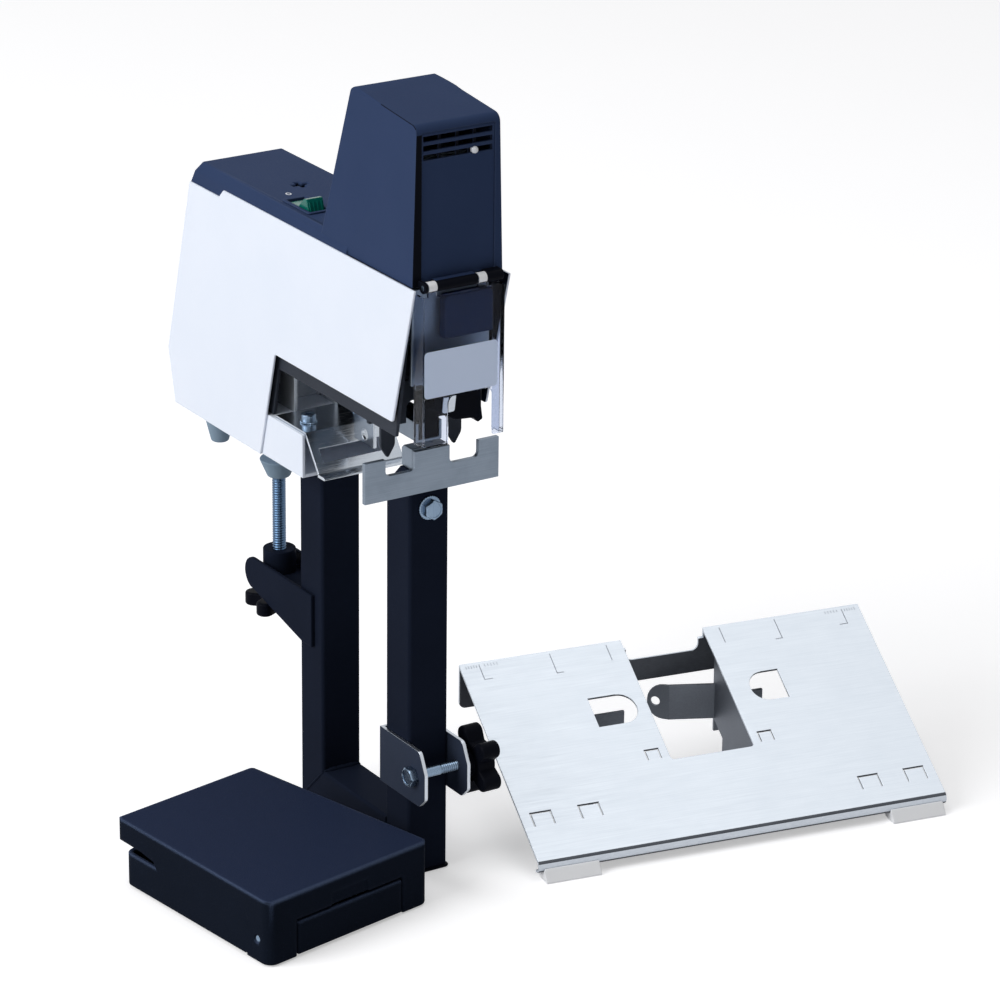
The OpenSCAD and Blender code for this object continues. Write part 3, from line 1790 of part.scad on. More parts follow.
module table_plate() {
  low = ridge_z - lip_h;
  deep = 3 * table_t;
  steps = 12;
  first = 90 + table_tilt;
  last = 290;
  roll = [for (i = [0:steps]) first + (last - first) * i / steps];
  outer = [for (a = roll) bead_c + bead_r * [cos(a), sin(a)]];
  inner = [for (i = [steps:-1:0]) bead_c + (bead_r - table_t) * [cos(roll[i]), sin(roll[i])]];
  lip_y = ridge_y - table_t;
  notch = saddle_w / 2 - lip_in;
  color(bright)
    on_table()
      difference() {
        yz(-table_w / 2, table_w / 2)
          polygon(concat([[ridge_y, ridge_z]], outer, inner, [[lip_y, under(lip_y)], [lip_y, low],
            [ridge_y, low]]));
        translate([0, 0, table_front])
          rotate([table_tilt, 0, 0])
            translate([0, 0, -deep])
              linear_extrude(2 * deep)
                table_cuts();
        xz(lip_y - over, ridge_y + over)
          polygon(rounded([[-notch, ridge_z + over], [-notch, ridge_z - saddle_drop],
            [notch, ridge_z - saddle_drop], [notch, ridge_z + over]], [0, lip_r, lip_r, 0]));
        pair()
          xz(lip_y - over, ridge_y + over)
            difference() {
              translate([table_w / 2 - lip_r, low - over])
                square(lip_r + over);
              translate([table_w / 2 - lip_r, low + lip_r])
                circle(r = lip_r);
            }
      }
}

// Cheek under the plate, with a leg to the floor
module cheek_outline() {
  y1 = ridge_y - cheek_back;
  y0 = y1 - cheek_len;
  leg = y1 - 1.4 * cheek_foot;
  polygon([[y0, under(y0)], [leg - cheek_foot, 0], [leg, 0], [leg, under(leg) - cheek_h],
    [y1, under(y1) - cheek_h], [y1, under(y1)]]);
}

// Upright strip of the hanger arm, drawn along X
module hanger_strip() {
  xz(-cheek_t / 2, cheek_t / 2)
    square([hanger_len, hanger_h]);
  translate([hanger_len, 0, 0])
    rotate([0, 0, -hanger_bend])
      xz(-cheek_t / 2, cheek_t / 2)
        difference() {
          polygon(rounded([[-cheek_t / 2, 0], [hanger_tab, 0], [hanger_tab, hanger_h],
            [-cheek_t / 2, hanger_h]],
            [0, hanger_h / 2 - 1, hanger_h / 2 - 1, 0]));
          translate([0.6 * hanger_tab, hanger_h / 2])
            circle(d = hanger_hole);
        }
}

module table_bracket() {
  y1 = ridge_y - cheek_back;
  x0 = saddle_w / 2 + slide_gap;
  color(steel)
    on_table() {
      yz(x0, x0 + cheek_t)
        cheek_outline();
      box([x0, y1 - cheek_t, wing_z], [x0 + wing_w, y1, wing_z + wing_h]);
      translate([x0 + cheek_t / 2, y1 - cheek_t / 2, hanger_z])
        rotate([0, 0, 180 - hanger_turn])
          hanger_strip();
      yz(-cheek_left, cheek_t - cheek_left)
        cheek_outline();
      box([-cheek_left, y1 - cheek_t, wing_z], [wing_w - cheek_left, y1, wing_z + wing_h]);
    }
}

// Foot block, cut to sit round the rolled edge
module block_outline() {
  nose = [-0.8, bead_c[1] - 1];
  lean = 1.5;
  back = [2.5 * bead_r, bead_c[1]];
  steps = 10;
  sweep = 170;
  seat = [for (i = [0:steps]) let (a = -sweep * i / steps)
    bead_c + (bead_r + push_gap) * [cos(a), sin(a)]];
  polygon(concat(rounded([nose, [-block_t - lean, 0], [back[0], 0], back], [0, 0.5, 6, 0]), seat));
}

module table_blocks() {
  edge = 3;
  color("#f1f1ee")
    on_table()
      pair()
        yz(table_w / 2 - edge - block_len, table_w / 2 - edge)
          block_outline();
}

front_post();
rear_post();
bottom_beam();
post_end_caps();
guide_plate();
anvil();
anvil_bolt();
base_channel();
rubber_feet();
side_cover_left();
side_cover_right();
rear_panel();
power_inlet();
pedal_socket();
head_plate_left();
head_plate_right();
front_plate();
front_block();
tine_plate();
driver_guide();
magazine_guide();
head_support();
solenoid_yoke();
solenoid_coil();
plunger();
driver_blade();
return_spring();
magazine_rail();
staple_strip();
magazine_nose();
latch_tab();
staple_pusher();
top_cover();
front_panel();
indicator_lamp();
switch_housing();
power_rocker();
power_adjuster();
safety_guard();
guard_pin();
paper_stop();
stop_screws();
clamp_arm();
clamp_screw();
clamp_pad();
clamp_knob();
post_bracket();
bracket_bolt();
knob_washer();
star_knob();
pedal_base();
pedal_feet();
pedal_pin();
pedal_treadle();
pedal_switch();
pedal_spring();
table_plate();
table_bracket();
table_blocks();
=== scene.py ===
import json
import math

import bmesh
import bpy
from mathutils import Matrix, Vector


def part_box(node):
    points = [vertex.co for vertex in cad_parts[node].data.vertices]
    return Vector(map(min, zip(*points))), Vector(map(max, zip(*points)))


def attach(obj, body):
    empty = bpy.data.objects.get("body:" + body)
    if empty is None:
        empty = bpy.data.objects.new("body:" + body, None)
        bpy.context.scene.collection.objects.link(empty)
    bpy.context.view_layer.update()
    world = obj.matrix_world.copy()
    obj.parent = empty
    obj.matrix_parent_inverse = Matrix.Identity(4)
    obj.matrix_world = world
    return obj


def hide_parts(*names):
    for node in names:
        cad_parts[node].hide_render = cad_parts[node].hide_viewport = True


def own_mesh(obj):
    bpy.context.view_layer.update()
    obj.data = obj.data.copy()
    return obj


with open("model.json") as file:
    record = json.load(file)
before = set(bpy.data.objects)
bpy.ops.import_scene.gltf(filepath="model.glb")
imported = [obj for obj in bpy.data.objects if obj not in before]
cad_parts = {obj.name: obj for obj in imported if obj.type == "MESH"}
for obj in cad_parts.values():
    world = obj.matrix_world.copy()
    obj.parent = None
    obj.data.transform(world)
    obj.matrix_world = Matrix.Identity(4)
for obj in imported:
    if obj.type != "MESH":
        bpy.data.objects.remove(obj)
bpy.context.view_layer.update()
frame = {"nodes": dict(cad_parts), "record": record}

# Electric saddle stapler on its tube stand, with its foot pedal and saddle table.
# Lengths below are in millimetres and are turned to metres where a mesh is made.
MM = 0.001
SLOT_OF = {row["node"]: row["material_slot"] for row in frame["record"]["subparts"]}
BODY_OF = {name: body for body, names in frame["record"]["behaviour"]["bodies"].items() for name in names}

# Places and turns of the pieces that stand askew, as the solids have them.
GUARD_HINGE = Vector((0.0, -44.0, 355.5))
ROCKER_PIVOT = Vector((-16.4, 89.0, 359.0))
TABLE_TURN = math.radians(-10)
TABLE_TILT = math.radians(30.8)
# Saddle table's own frame: X along its front edge, Y up the slope, Z off the plate.
TABLE_SPOT = (Matrix.Translation((170.7, -78.3, 10.0)) @ Matrix.Rotation(TABLE_TURN, 4, "Z")
              @ Matrix.Rotation(TABLE_TILT, 4, "X"))
PEDAL_SPOT = Matrix.Translation((-91.6, 8.6, 0.0)) @ Matrix.Rotation(math.radians(11.5), 4, "Z")
# M6 hexagon heads, over their flats.
HEX_ACROSS = 10.0


# Materials

def linear(code):
    """A hex colour as it is seen, in the linear values that a shader takes."""
    seen = [int(code[i:i + 2], 16) / 255 for i in (1, 3, 5)]
    return tuple(c / 12.92 if c <= 0.04045 else ((c + 0.055) / 1.055) ** 2.4 for c in seen) + (1.0,)


def add(tree, kind, sockets=None, **settings):
    """One node with its settings, its values and the links into it."""
    made = tree.nodes.new("ShaderNode" + kind)
    for key, value in settings.items():
        setattr(made, key, value)
    for key, value in (sockets or {}).items():
        if isinstance(value, bpy.types.NodeSocket):
            tree.links.new(value, made.inputs[key])
        else:
            made.inputs[key].default_value = value
    return made


def blank(name):
    """A new material with an empty node tree."""
    material = bpy.data.materials.new(name)
    material.use_nodes = True
    material.node_tree.nodes.clear()
    return material, material.node_tree


def per_metre(size):
    """Texture scale of a pattern whose features are that many millimetres across."""
    return 1 / (size * MM)


def coated(name, colour, cloud, worn_and_glint, rough, specular, grain, relief, wear_and_glint=0.35, rounding=0.5,
           dots=None, painted_top_light=None):
    """Paint or moulded plastic: grain that breaks up the gloss, faint clouds, paler edges that are partly
    wear and partly a painted glint, and on request a painted lighter top with a painted glint along rounded
    rims.
    """
    material, tree = blank(name)
    place = add(tree, "TexCoord").outputs["Object"]
    fine = add(tree, "TexNoise", {"Vector": place, "Scale": per_metre(grain), "Detail": 3.0,
                                  "Roughness": 0.6})
    clouds = add(tree, "TexNoise", {"Vector": place, "Scale": per_metre(45), "Detail": 4.0})
    soft = add(tree, "Bevel", {"Radius": rounding * MM}, samples=4)
    true = add(tree, "NewGeometry")
    bend = add(tree, "VectorMath", {0: soft.outputs["Normal"], 1: true.outputs["Normal"]},
               operation="DOT_PRODUCT")
    # paler edges: partly wear, partly a painted glint where edges would catch light
    edge_wear_and_glint = add(tree, "MapRange", {"Value": bend.outputs["Value"], "From Min": 0.995, "From Max": 0.86,
                                    "To Min": 0.0, "To Max": wear_and_glint})
    patchy = add(tree, "Math", {0: edge_wear_and_glint.outputs["Result"], 1: clouds.outputs["Fac"]},
                 operation="MULTIPLY")
    body = add(tree, "Mix", {"Factor": clouds.outputs["Fac"], "A": linear(colour), "B": linear(cloud)},
               data_type="RGBA")
    if painted_top_light:
        # painted light: faces that look up are painted lighter, and a painted glint runs pale along the
        # rounded rim
        facing = add(tree, "SeparateXYZ", {"Vector": soft.outputs["Normal"]})
        lying = add(tree, "MapRange", {"Value": facing.outputs["Z"], "From Min": 0.3, "From Max": 0.95})
        painted_top_lit = add(tree, "Mix", {"Factor": lying.outputs["Result"], "A": body.outputs["Result"],
                                  "B": linear(painted_top_light)}, data_type="RGBA")
        off_rim = add(tree, "Math", {0: facing.outputs["Z"], 1: 0.72}, operation="SUBTRACT")
        away = add(tree, "Math", {0: off_rim.outputs["Value"]}, operation="ABSOLUTE")
        rim = add(tree, "MapRange", {"Value": away.outputs["Value"], "From Min": 0.05, "From Max": 0.24,
                                     "To Min": 1.0, "To Max": 0.0})
        body = add(tree, "Mix", {"Factor": rim.outputs["Result"], "A": painted_top_lit.outputs["Result"],
                                 "B": linear(worn_and_glint)}, data_type="RGBA")
    shown = add(tree, "Mix", {"Factor": patchy.outputs["Value"], "A": body.outputs["Result"],
                              "B": linear(worn_and_glint)}, data_type="RGBA")
    gloss = add(tree, "MapRange", {"Value": fine.outputs["Fac"], "From Min": 0.3, "From Max": 0.7,
                                   "To Min": rough - 0.06, "To Max": rough + 0.08})
    height = fine.outputs["Fac"]
    if dots:
        # leather grain: cells with raised middles between narrow creases
        cells = add(tree, "TexVoronoi", {"Vector": place, "Scale": per_metre(dots), "Randomness": 1.0},
                    feature="DISTANCE_TO_EDGE")
        hump = add(tree, "MapRange", {"Value": cells.outputs["Distance"], "From Min": 0.0,
                                      "From Max": 0.35})
        height = add(tree, "Math", {0: hump.outputs["Result"], 1: fine.outputs["Fac"]},
                     operation="ADD").outputs["Value"]
    bump = add(tree, "Bump", {"Strength": 1.0, "Distance": relief * MM, "Height": height,
                              "Normal": soft.outputs["Normal"]})
    shader = add(tree, "BsdfPrincipled", {
        "Base Color": shown.outputs["Result"], "Roughness": gloss.outputs["Result"],
        "Normal": bump.outputs["Normal"], "Specular IOR Level": specular, "IOR": 1.5})
    add(tree, "OutputMaterial", {"Surface": shader.outputs["BSDF"]})
    return material


def brushed(name, colour, streak, rough, along, line, relief, stain=None, rounding=0.3, turn=0.0):
    """Bare sheet metal: fine lines along one axis, faint stains, bright bent edges."""
    material, tree = blank(name)
    place = add(tree, "TexCoord").outputs["Object"]
    laid = add(tree, "Mapping", {"Vector": place, "Rotation": (0.0, 0.0, turn)}, vector_type="TEXTURE")
    stretch = [per_metre(line)] * 3
    stretch[along] = per_metre(60 * line)
    drawn = add(tree, "Mapping", {"Vector": laid.outputs["Vector"], "Scale": stretch})
    lines = add(tree, "TexNoise", {"Vector": drawn.outputs["Vector"], "Scale": 1.0, "Detail": 4.0,
                                   "Roughness": 0.65})
    stains = add(tree, "TexNoise", {"Vector": place, "Scale": per_metre(18), "Detail": 5.0,
                                    "Roughness": 0.6})
    cover = add(tree, "MapRange", {"Value": stains.outputs["Fac"], "From Min": 0.45, "From Max": 0.75,
                                   "To Min": 0.0, "To Max": 0.5})
    sheet = add(tree, "Mix", {"Factor": lines.outputs["Fac"], "A": linear(colour), "B": linear(streak)},
                data_type="RGBA")
    shown = add(tree, "Mix", {"Factor": cover.outputs["Result"], "A": sheet.outputs["Result"],
                              "B": linear(stain or streak)}, data_type="RGBA")
    gloss = add(tree, "MapRange", {"Value": lines.outputs["Fac"], "From Min": 0.3, "From Max": 0.7,
                                   "To Min": rough - 0.07, "To Max": rough + 0.1})
    soft = add(tree, "Bevel", {"Radius": rounding * MM}, samples=4)
    bump = add(tree, "Bump", {"Strength": 1.0, "Distance": relief * MM,
                              "Height": lines.outputs["Fac"], "Normal": soft.outputs["Normal"]})
    shader = add(tree, "BsdfPrincipled", {
        "Base Color": shown.outputs["Result"], "Roughness": gloss.outputs["Result"],
        "Normal": bump.outputs["Normal"], "Metallic": 1.0})
    add(tree, "OutputMaterial", {"Surface": shader.outputs["BSDF"]})
    return material


def tinted_clear(name, colour, rough, ior, through, haze):
    """Moulded clear plastic: sees through, with soft flow lines and scuffs that catch light."""
    material, tree = blank(name)
    place = add(tree, "TexCoord").outputs["Object"]
    flow = add(tree, "TexNoise", {"Vector": place, "Scale": per_metre(9), "Detail": 3.0})
    scuff = add(tree, "TexNoise", {"Vector": place, "Scale": per_metre(1.2), "Detail": 4.0})
    gloss = add(tree, "MapRange", {"Value": scuff.outputs["Fac"], "From Min": 0.4, "From Max": 0.75,
                                   "To Min": rough, "To Max": rough + haze})
    shade = add(tree, "Mix", {"Factor": flow.outputs["Fac"], "A": linear(colour[0]),
                              "B": linear(colour[1])}, data_type="RGBA")
    bump = add(tree, "Bump", {"Strength": 1.0, "Distance": 0.01 * MM, "Height": flow.outputs["Fac"]})
    shader = add(tree, "BsdfPrincipled", {
        "Base Color": shade.outputs["Result"], "Roughness": gloss.outputs["Result"],
        "Normal": bump.outputs["Normal"], "IOR": ior, "Transmission Weight": through})
    add(tree, "OutputMaterial", {"Surface": shader.outputs["BSDF"]})
    return material


# Powder-coated steel tube: near black, satin, with a fine orange-peel that blurs reflections.
# The peel is about 0.4 mm on the real coat and is drawn at 1.4 mm so that it shows.
# The room is white all round, so dark coats have a low specular level to stay dark.
BLACK_COAT = coated("black_powder_coated_steel", "#151a26", "#1b2130", "#414c60", 0.42, 0.004, 1.4, 0.012)
# Powder-coated sheet: cool white, even, with a soft gloss and slightly greyed edges.
WHITE_COAT = coated("white_powder_coated_sheet", "#e3e9f4", "#dbe3f0", "#c3cbd8", 0.42, 0.4, 1.6, 0.008,
                    wear_and_glint=0.5)
# Phosphated plate: dark grey, dull, a little mottled.
DARK_PLATE = coated("phosphated_steel_plate", "#2b2f37", "#353a44", "#6b727e", 0.5, 0.06, 1.2, 0.01,
                    wear_and_glint=0.6)
# Moulded ABS with spark-eroded grain: slate blue-grey, matt, so light spreads over each face.
# The grain is about 0.2 mm on the real cover and is drawn at 0.8 mm so that it shows.
SLATE_ABS = coated("slate_moulded_abs", "#2c3a58", "#32405f", "#66738f", 0.5, 0.015, 0.8, 0.02,
                   wear_and_glint=0.5, rounding=0.9)
# The same moulding, darker, as painted shade on the front block behind the guard.
SHADED_SLATE_ABS = coated("slate_moulded_abs_painted_shade", "#212c45", "#25314b", "#4d5a75", 0.5, 0.015, 0.8, 0.02,
                  wear_and_glint=0.4, rounding=0.9)
# The same moulding polished more, nearly black: knobs, nose, socket.
BLACK_ABS = coated("black_moulded_abs", "#0a0b11", "#10131c", "#39435a", 0.34, 0.02, 1.0, 0.012,
                   wear_and_glint=0.5, rounding=0.6)
# Pedal ABS with a leather grain: navy black, with small creases of about 1.5 mm, a painted lighter top and
# a painted glint along its rounded rim.
PEDAL_ABS = coated("leather_grained_abs", "#11161f", "#161c29", "#53617d", 0.46, 0.004, 0.9, 0.07,
                   wear_and_glint=0.1, rounding=3.5, dots=1.5, painted_top_light="#252e45")
# The same moulding on the thin cheeks, with their edges kept sharp.
SKIRT_ABS = coated("leather_grained_skirt_abs", "#11161f", "#161c29", "#2a3346", 0.46, 0.004, 0.9, 0.05,
                   wear_and_glint=0.1, rounding=0.05, dots=1.5)
# Bracket paint: thinner black coat that lets the steel show grey.
BRACKET_COAT = coated("black_painted_sheet", "#2a3140", "#323a4b", "#7b8698", 0.45, 0.02, 1.2, 0.01)
# Moulded polypropylene, milky white and soft at the edges.
WHITE_PLASTIC = coated("white_moulded_polypropylene", "#f8f9fb", "#f2f4f7", "#e2e6ec", 0.45, 0.4, 1.5, 0.01,
                       wear_and_glint=0.3)
# Moulded rubber: blue-grey and matt, with a dusty bloom.
GREY_RUBBER = coated("grey_moulded_rubber", "#6f8496", "#8093a4", "#a9b7c3", 0.7, 0.25, 1.0, 0.02,
                     wear_and_glint=0.4, rounding=0.8)
# Lacquered copper winding: brown with close turns.
WINDING = coated("lacquered_copper_winding", "#7a3f22", "#8c4d2a", "#a8683e", 0.35, 0.5, 0.7, 0.05,
                 wear_and_glint=0.2)
# White printing ink: thin, matt, slightly uneven.
WHITE_INK = coated("white_printing_ink", "#e8eaee", "#dde1e7", "#c8ced6", 0.6, 0.3, 0.5, 0.004,
                   wear_and_glint=0.2, rounding=0.05)
# Grey printing ink on steel: faint, a little broken up.
GREY_INK = coated("grey_printing_ink", "#a3abb6", "#c2c8d0", "#d8dde2", 0.5, 0.3, 0.6, 0.003,
                  wear_and_glint=0.2, rounding=0.05)
# Coated paper sticker: pale blue-grey under the room's light, flat with a weak sheen.
STICKER = coated("coated_paper_sticker", "#d8e6ff", "#d0e0fb", "#c8d8f2", 0.4, 0.4, 1.1, 0.004,
                 wear_and_glint=0.3, rounding=0.1)

# Brushed stainless sheet: pale, with fine straight lines along its length.
# Real lines are about 0.05 mm apart and are drawn at 0.5 mm so that they show.
TABLE_STEEL = brushed("brushed_stainless_sheet", "#c9cfd6", "#c0c7cf", 0.5, 0, 0.5, 0.003, turn=TABLE_TURN)
# Satin mild steel: mid grey, with handling stains.
SATIN_STEEL = brushed("satin_mild_steel", "#808a96", "#707b88", 0.42, 0, 0.4, 0.006, "#626d79")
# Polished stainless strip: bright, with sharp dark and light bands.
BRIGHT_STEEL = brushed("polished_stainless_strip", "#c2c8d0", "#adb5bf", 0.2, 0, 0.4, 0.003)
# Zinc-plated steel: blue-grey lustre, slightly cloudy.
ZINC_STEEL = brushed("zinc_plated_steel", "#8496aa", "#70849a", 0.28, 2, 0.5, 0.004, "#64788e")
# Blue-passivated zinc on the long clamp stud: darker and bluer, with oil in its thread.
STUD_STEEL = brushed("blue_passivated_zinc_stud", "#566d87", "#465e79", 0.3, 2, 0.5, 0.004, "#435972")
# Sheared steel edge that the paint wore off: bare and bright.
BARE_EDGE = brushed("sheared_bare_steel", "#c9ced6", "#aab1bb", 0.3, 2, 0.4, 0.006)
# Dark bracket sheet: bluish grey steel, dull.
BRACKET_STEEL = brushed("oiled_mild_steel", "#747981", "#666b74", 0.48, 0, 0.5, 0.006, "#757b84")
# Tumbled stainless plate: pale and soft, without sharp reflections.
PALE_STEEL = brushed("tumbled_stainless_plate", "#c4c9d0", "#b4bbc4", 0.55, 0, 0.5, 0.004)
# Painted shade and reflection on the folded table sheet: the same steel, dark grey, on its faces that look
# to the front or down and in bands round its front bead.
SHADE_AND_REFLECTION_STEEL = brushed("stainless_painted_shade_and_reflection", "#4d5056", "#43464c", 0.5, 0, 0.6, 0.004, "#55595f")

# Clear polycarbonate: see-through with a cool tint that gathers at its edges.
# Its index is set under the real 1.58, because the white room would veil what stands behind it.
CLEAR_PC = tinted_clear("clear_polycarbonate", ("#d6dcea", "#cdd5e5"), 0.03, 1.15, 1.0, 0.05)
# Tinted polycarbonate of a lit rocker: deep teal, glossy, a little light inside.
TEAL_PC = tinted_clear("teal_polycarbonate", ("#06685c", "#087568"), 0.2, 1.35, 0.2, 0.08)
# Frosted acrylic lens: white and waxy.
LENS = tinted_clear("frosted_acrylic_lens", ("#fbfcff", "#eef3fa"), 0.3, 1.49, 0.2, 0.1)

FINISH = {
    "black_steel": BLACK_COAT, "white_sheet": WHITE_COAT, "dark_plate": DARK_PLATE, "dark_abs": SLATE_ABS,
    "black_abs": BLACK_ABS, "pedal_abs": PEDAL_ABS, "white_plastic": WHITE_PLASTIC,
    "clear_plastic": CLEAR_PC, "green_plastic": TEAL_PC, "lamp_plastic": LENS, "winding": WINDING,
    "satin_steel": SATIN_STEEL, "bright_steel": BRIGHT_STEEL, "zinc_steel": ZINC_STEEL,
    "grey_rubber": GREY_RUBBER,
}
# the front block takes the darker slate copy, which is painted shade
OWN_FINISH = {"table_plate": TABLE_STEEL, "table_bracket": BRACKET_STEEL, "head_support": PALE_STEEL,
              "switch_housing": SLATE_ABS, "front_block": SHADED_SLATE_ABS}

for node_name, node_object in frame["nodes"].items():
    node_object.data.materials.clear()
    node_object.data.materials.append(OWN_FINISH.get(node_name, FINISH[SLOT_OF[node_name]]))


# Meshes

def piece(name, work, material, body, stands_for=(), crease=35):
    """A finished mesh as an object that rides on a body."""
    mesh = bpy.data.meshes.new(name)
    work.to_mesh(mesh)
    work.free()
    for layer in (material if isinstance(material, (list, tuple)) else [material]):
        mesh.materials.append(layer)
    mesh.shade_smooth()
    mesh.set_sharp_from_angle(angle=math.radians(crease))
    made = bpy.data.objects.new(name, mesh)
    bpy.context.scene.collection.objects.link(made)
    flats = made.modifiers.new("flat_faces_lead", "WEIGHTED_NORMAL")
    flats.keep_sharp = True
    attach(made, body)
    if stands_for:
        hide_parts(*stands_for)
    return made


def cad_copy(name):
    """The node's solid, its triangles joined to whole faces."""
    work = bmesh.new()
    work.from_mesh(frame["nodes"][name].data)
    bmesh.ops.remove_doubles(work, verts=work.verts, dist=0.002 * MM)
    bmesh.ops.dissolve_limit(work, angle_limit=math.radians(0.4), verts=work.verts, edges=work.edges)
    return work


def sharp_edges(work, keep=lambda edge: True):
    """Edges between faces that meet at more than 32 degrees."""
    return [e for e in work.edges
            if len(e.link_faces) == 2 and e.calc_face_angle(0) > math.radians(32) and keep(e)]


def round_off(work, edges, width, steps):
    """A radius along the edges, in millimetres."""
    bmesh.ops.bevel(work, geom=edges, offset=width * MM, offset_type="OFFSET", segments=steps,
                    profile=0.5, affect="EDGES", clamp_overlap=False)


def folded(work):
    """Corners of the faces that an edge radius has turned over."""
    test = work.copy()
    bmesh.ops.triangulate(test, faces=test.faces)
    test.normal_update()
    corners = []
    for edge in test.edges:
        if len(edge.link_faces) == 2 and edge.calc_face_angle(0) > math.radians(176):
            if min(face.calc_area() for face in edge.link_faces) > 0.004 * MM * MM:
                corners += [corner.co.copy() for face in edge.link_faces for corner in face.verts]
    test.free()
    return corners


def near(edge, spots, reach):
    """Whether the edge passes within reach of one of the spots."""
    start, run = edge.verts[0].co, edge.verts[1].co - edge.verts[0].co
    for spot in spots:
        along = min(1.0, max(0.0, (spot - start).dot(run) / run.length_squared))
        if (start + run * along - spot).length < reach:
            return True
    return False


def eased(name, width, steps=2, finishes=None, pick=None):
    """The node with the small edge radius that its real piece has; pick gives a face its finish."""
    tight = []
    last = 7
    for attempt in range(last + 1):
        # edges with no room for the radius stay sharp
        work = cad_copy(name)
        edges = sharp_edges(work, lambda edge: edge.is_convex and not near(edge, tight, 2.5 * width * MM))
        round_off(work, edges, width, steps)
        corners = folded(work)
        if not corners or attempt == last:
            break
        tight += corners
        work.free()
    work.normal_update()
    for face in work.faces if pick else ():
        face.material_index = pick(face.normal, face.calc_center_median() / MM)
    finish = finishes or OWN_FINISH.get(name, FINISH[SLOT_OF[name]])
    return piece(name + "_eased", work, finish, BODY_OF[name], (name,))


def loft(rings, capped=True, work=None):
    """Rings of points joined to a skin, closed at both ends."""
    work = work or bmesh.new()
    rows = [[work.verts.new(Vector(p) * MM) for p in ring] for ring in rings]
    count = len(rows[0])
    skin = []
    for low, high in zip(rows, rows[1:]):
        for i in range(count):
            j = (i + 1) % count
            skin.append(work.faces.new((low[i], low[j], high[j], high[i])))
    if capped:
        skin.append(work.faces.new(rows[0][::-1]))
        skin.append(work.faces.new(rows[-1]))
    bmesh.ops.recalc_face_normals(work, faces=skin)
    return work


def turned(profile, sides, radius_at=None):
    """Rings about Z from (radius, height) pairs; radius_at bends each one round its angle."""
    rings = []
    for r, z in profile:
        ring = []
        for i in range(sides):
            a = 2 * math.pi * i / sides
            reach = radius_at(r, a) if radius_at else r
            ring.append((reach * math.cos(a), reach * math.sin(a), z))
        rings.append(ring)
    return rings


def moved(rings, matrix):
    """The rings, turned and set in place by a matrix."""
    return [[matrix @ Vector(p) for p in ring] for ring in rings]


def hexagon(across, a):
    """Reach of a hexagon that wide over its flats, at an angle."""
    step = math.pi / 3
    return across / 2 / math.cos((a + step / 2) % step - step / 2)


def thread_rings(d, low, high, pitch, depth, sides=30, per_turn=6):
    """A rod with a rolled thread, tapered in at both ends."""
    count = round((high - low) / pitch * per_turn)
    rings = []
    for k in range(count + 1):
        z = low + (high - low) * k / count
        ease = min(1.0, (z - low) / pitch, (high - z) / pitch)
        ring = []
        for i in range(sides):
            a = 2 * math.pi * i / sides
            wave = 0.5 - 0.5 * math.cos(2 * math.pi * (z / pitch) - a)
            r = d / 2 - depth * (1 - ease) - depth * wave * ease
            ring.append((r * math.cos(a), r * math.sin(a), z))
        rings.append(ring)
    return rings


# Plain pieces with eased edges: tubes and sheets a little, mouldings more.
for node_name, width, steps in (
        ("front_post", 0.4, 2), ("rear_post", 0.4, 2), ("bottom_beam", 0.4, 2), ("clamp_arm", 0.5, 2),
        ("post_end_caps", 0.8, 3), ("guide_plate", 0.35, 2), ("anvil", 0.35, 2), ("base_channel", 0.5, 2),
        ("rubber_feet", 1.0, 3), ("clamp_pad", 1.0, 3), ("rear_panel", 0.5, 2), ("power_inlet", 0.4, 2),
        ("pedal_socket", 0.4, 2), ("head_plate_left", 0.3, 2), ("head_plate_right", 0.3, 2),
        ("front_plate", 0.3, 2), ("front_block", 0.8, 3), ("tine_plate", 0.3, 2),
        ("head_support", 0.3, 2), ("magazine_guide", 0.3, 2), ("magazine_rail", 0.3, 2),
        ("magazine_nose", 0.8, 3), ("latch_tab", 0.25, 2), ("staple_pusher", 0.3, 2),
        ("switch_housing", 0.3, 2), ("paper_stop", 0.3, 2), ("clamp_knob", 1.4, 4), ("star_knob", 1.4, 4),
        ("knob_washer", 0.25, 2), ("table_bracket", 0.35, 2), ("table_blocks", 0.6, 3),
        ("pedal_base", 0.8, 3), ("pedal_treadle", 0.8, 3), ("pedal_feet", 0.4, 2), ("pedal_pin", 0.5, 2),
        ("guard_pin", 0.3, 2)):
    eased(node_name, width, steps)


# Side covers: white outside, black on the faces that look inward.
eased("side_cover_left", 0.5, 2, [WHITE_COAT, BLACK_COAT], lambda n, at: int(n.x > 0.5))
eased("side_cover_right", 0.5, 2, [WHITE_COAT, BLACK_COAT], lambda n, at: int(n.x < -0.5))


# Top cover: slate, with black hinge barrels, and painted shade in black on a strip left of the front panel
# and along the roof edge.
def cover_black_and_painted_shade(n, at):
    # painted shade: a black strip on the corner left of the front panel and a black line along the roof
    # edge
    painted_shade_strip = n.y < -0.9 and at.x < -21 and at.z > 358
    barrels = at.y < -39 and at.z < 358.5
    painted_shade_roof_edge = at.z > 425 and at.y < 0 and n.x < -0.3 and n.z > 0.45
    return int(painted_shade_strip or barrels or painted_shade_roof_edge)


eased("top_cover", 0.9, 3, [SLATE_ABS, BLACK_ABS], cover_black_and_painted_shade)


# Guard: clear, with the barrel faces round its hinge pin painted white as a painted highlight.
def guard_painted_highlight(n, at):
    off_pin = math.hypot(at.y - GUARD_HINGE.y, at.z - GUARD_HINGE.z)
    # painted highlight: the barrel faces round the hinge pin are painted white
    return int(abs(n.x) < 0.5 and off_pin > 1.9 and at.z > 353.6)


eased("safety_guard", 0.4, 3, [CLEAR_PC, WHITE_PLASTIC], guard_painted_highlight)


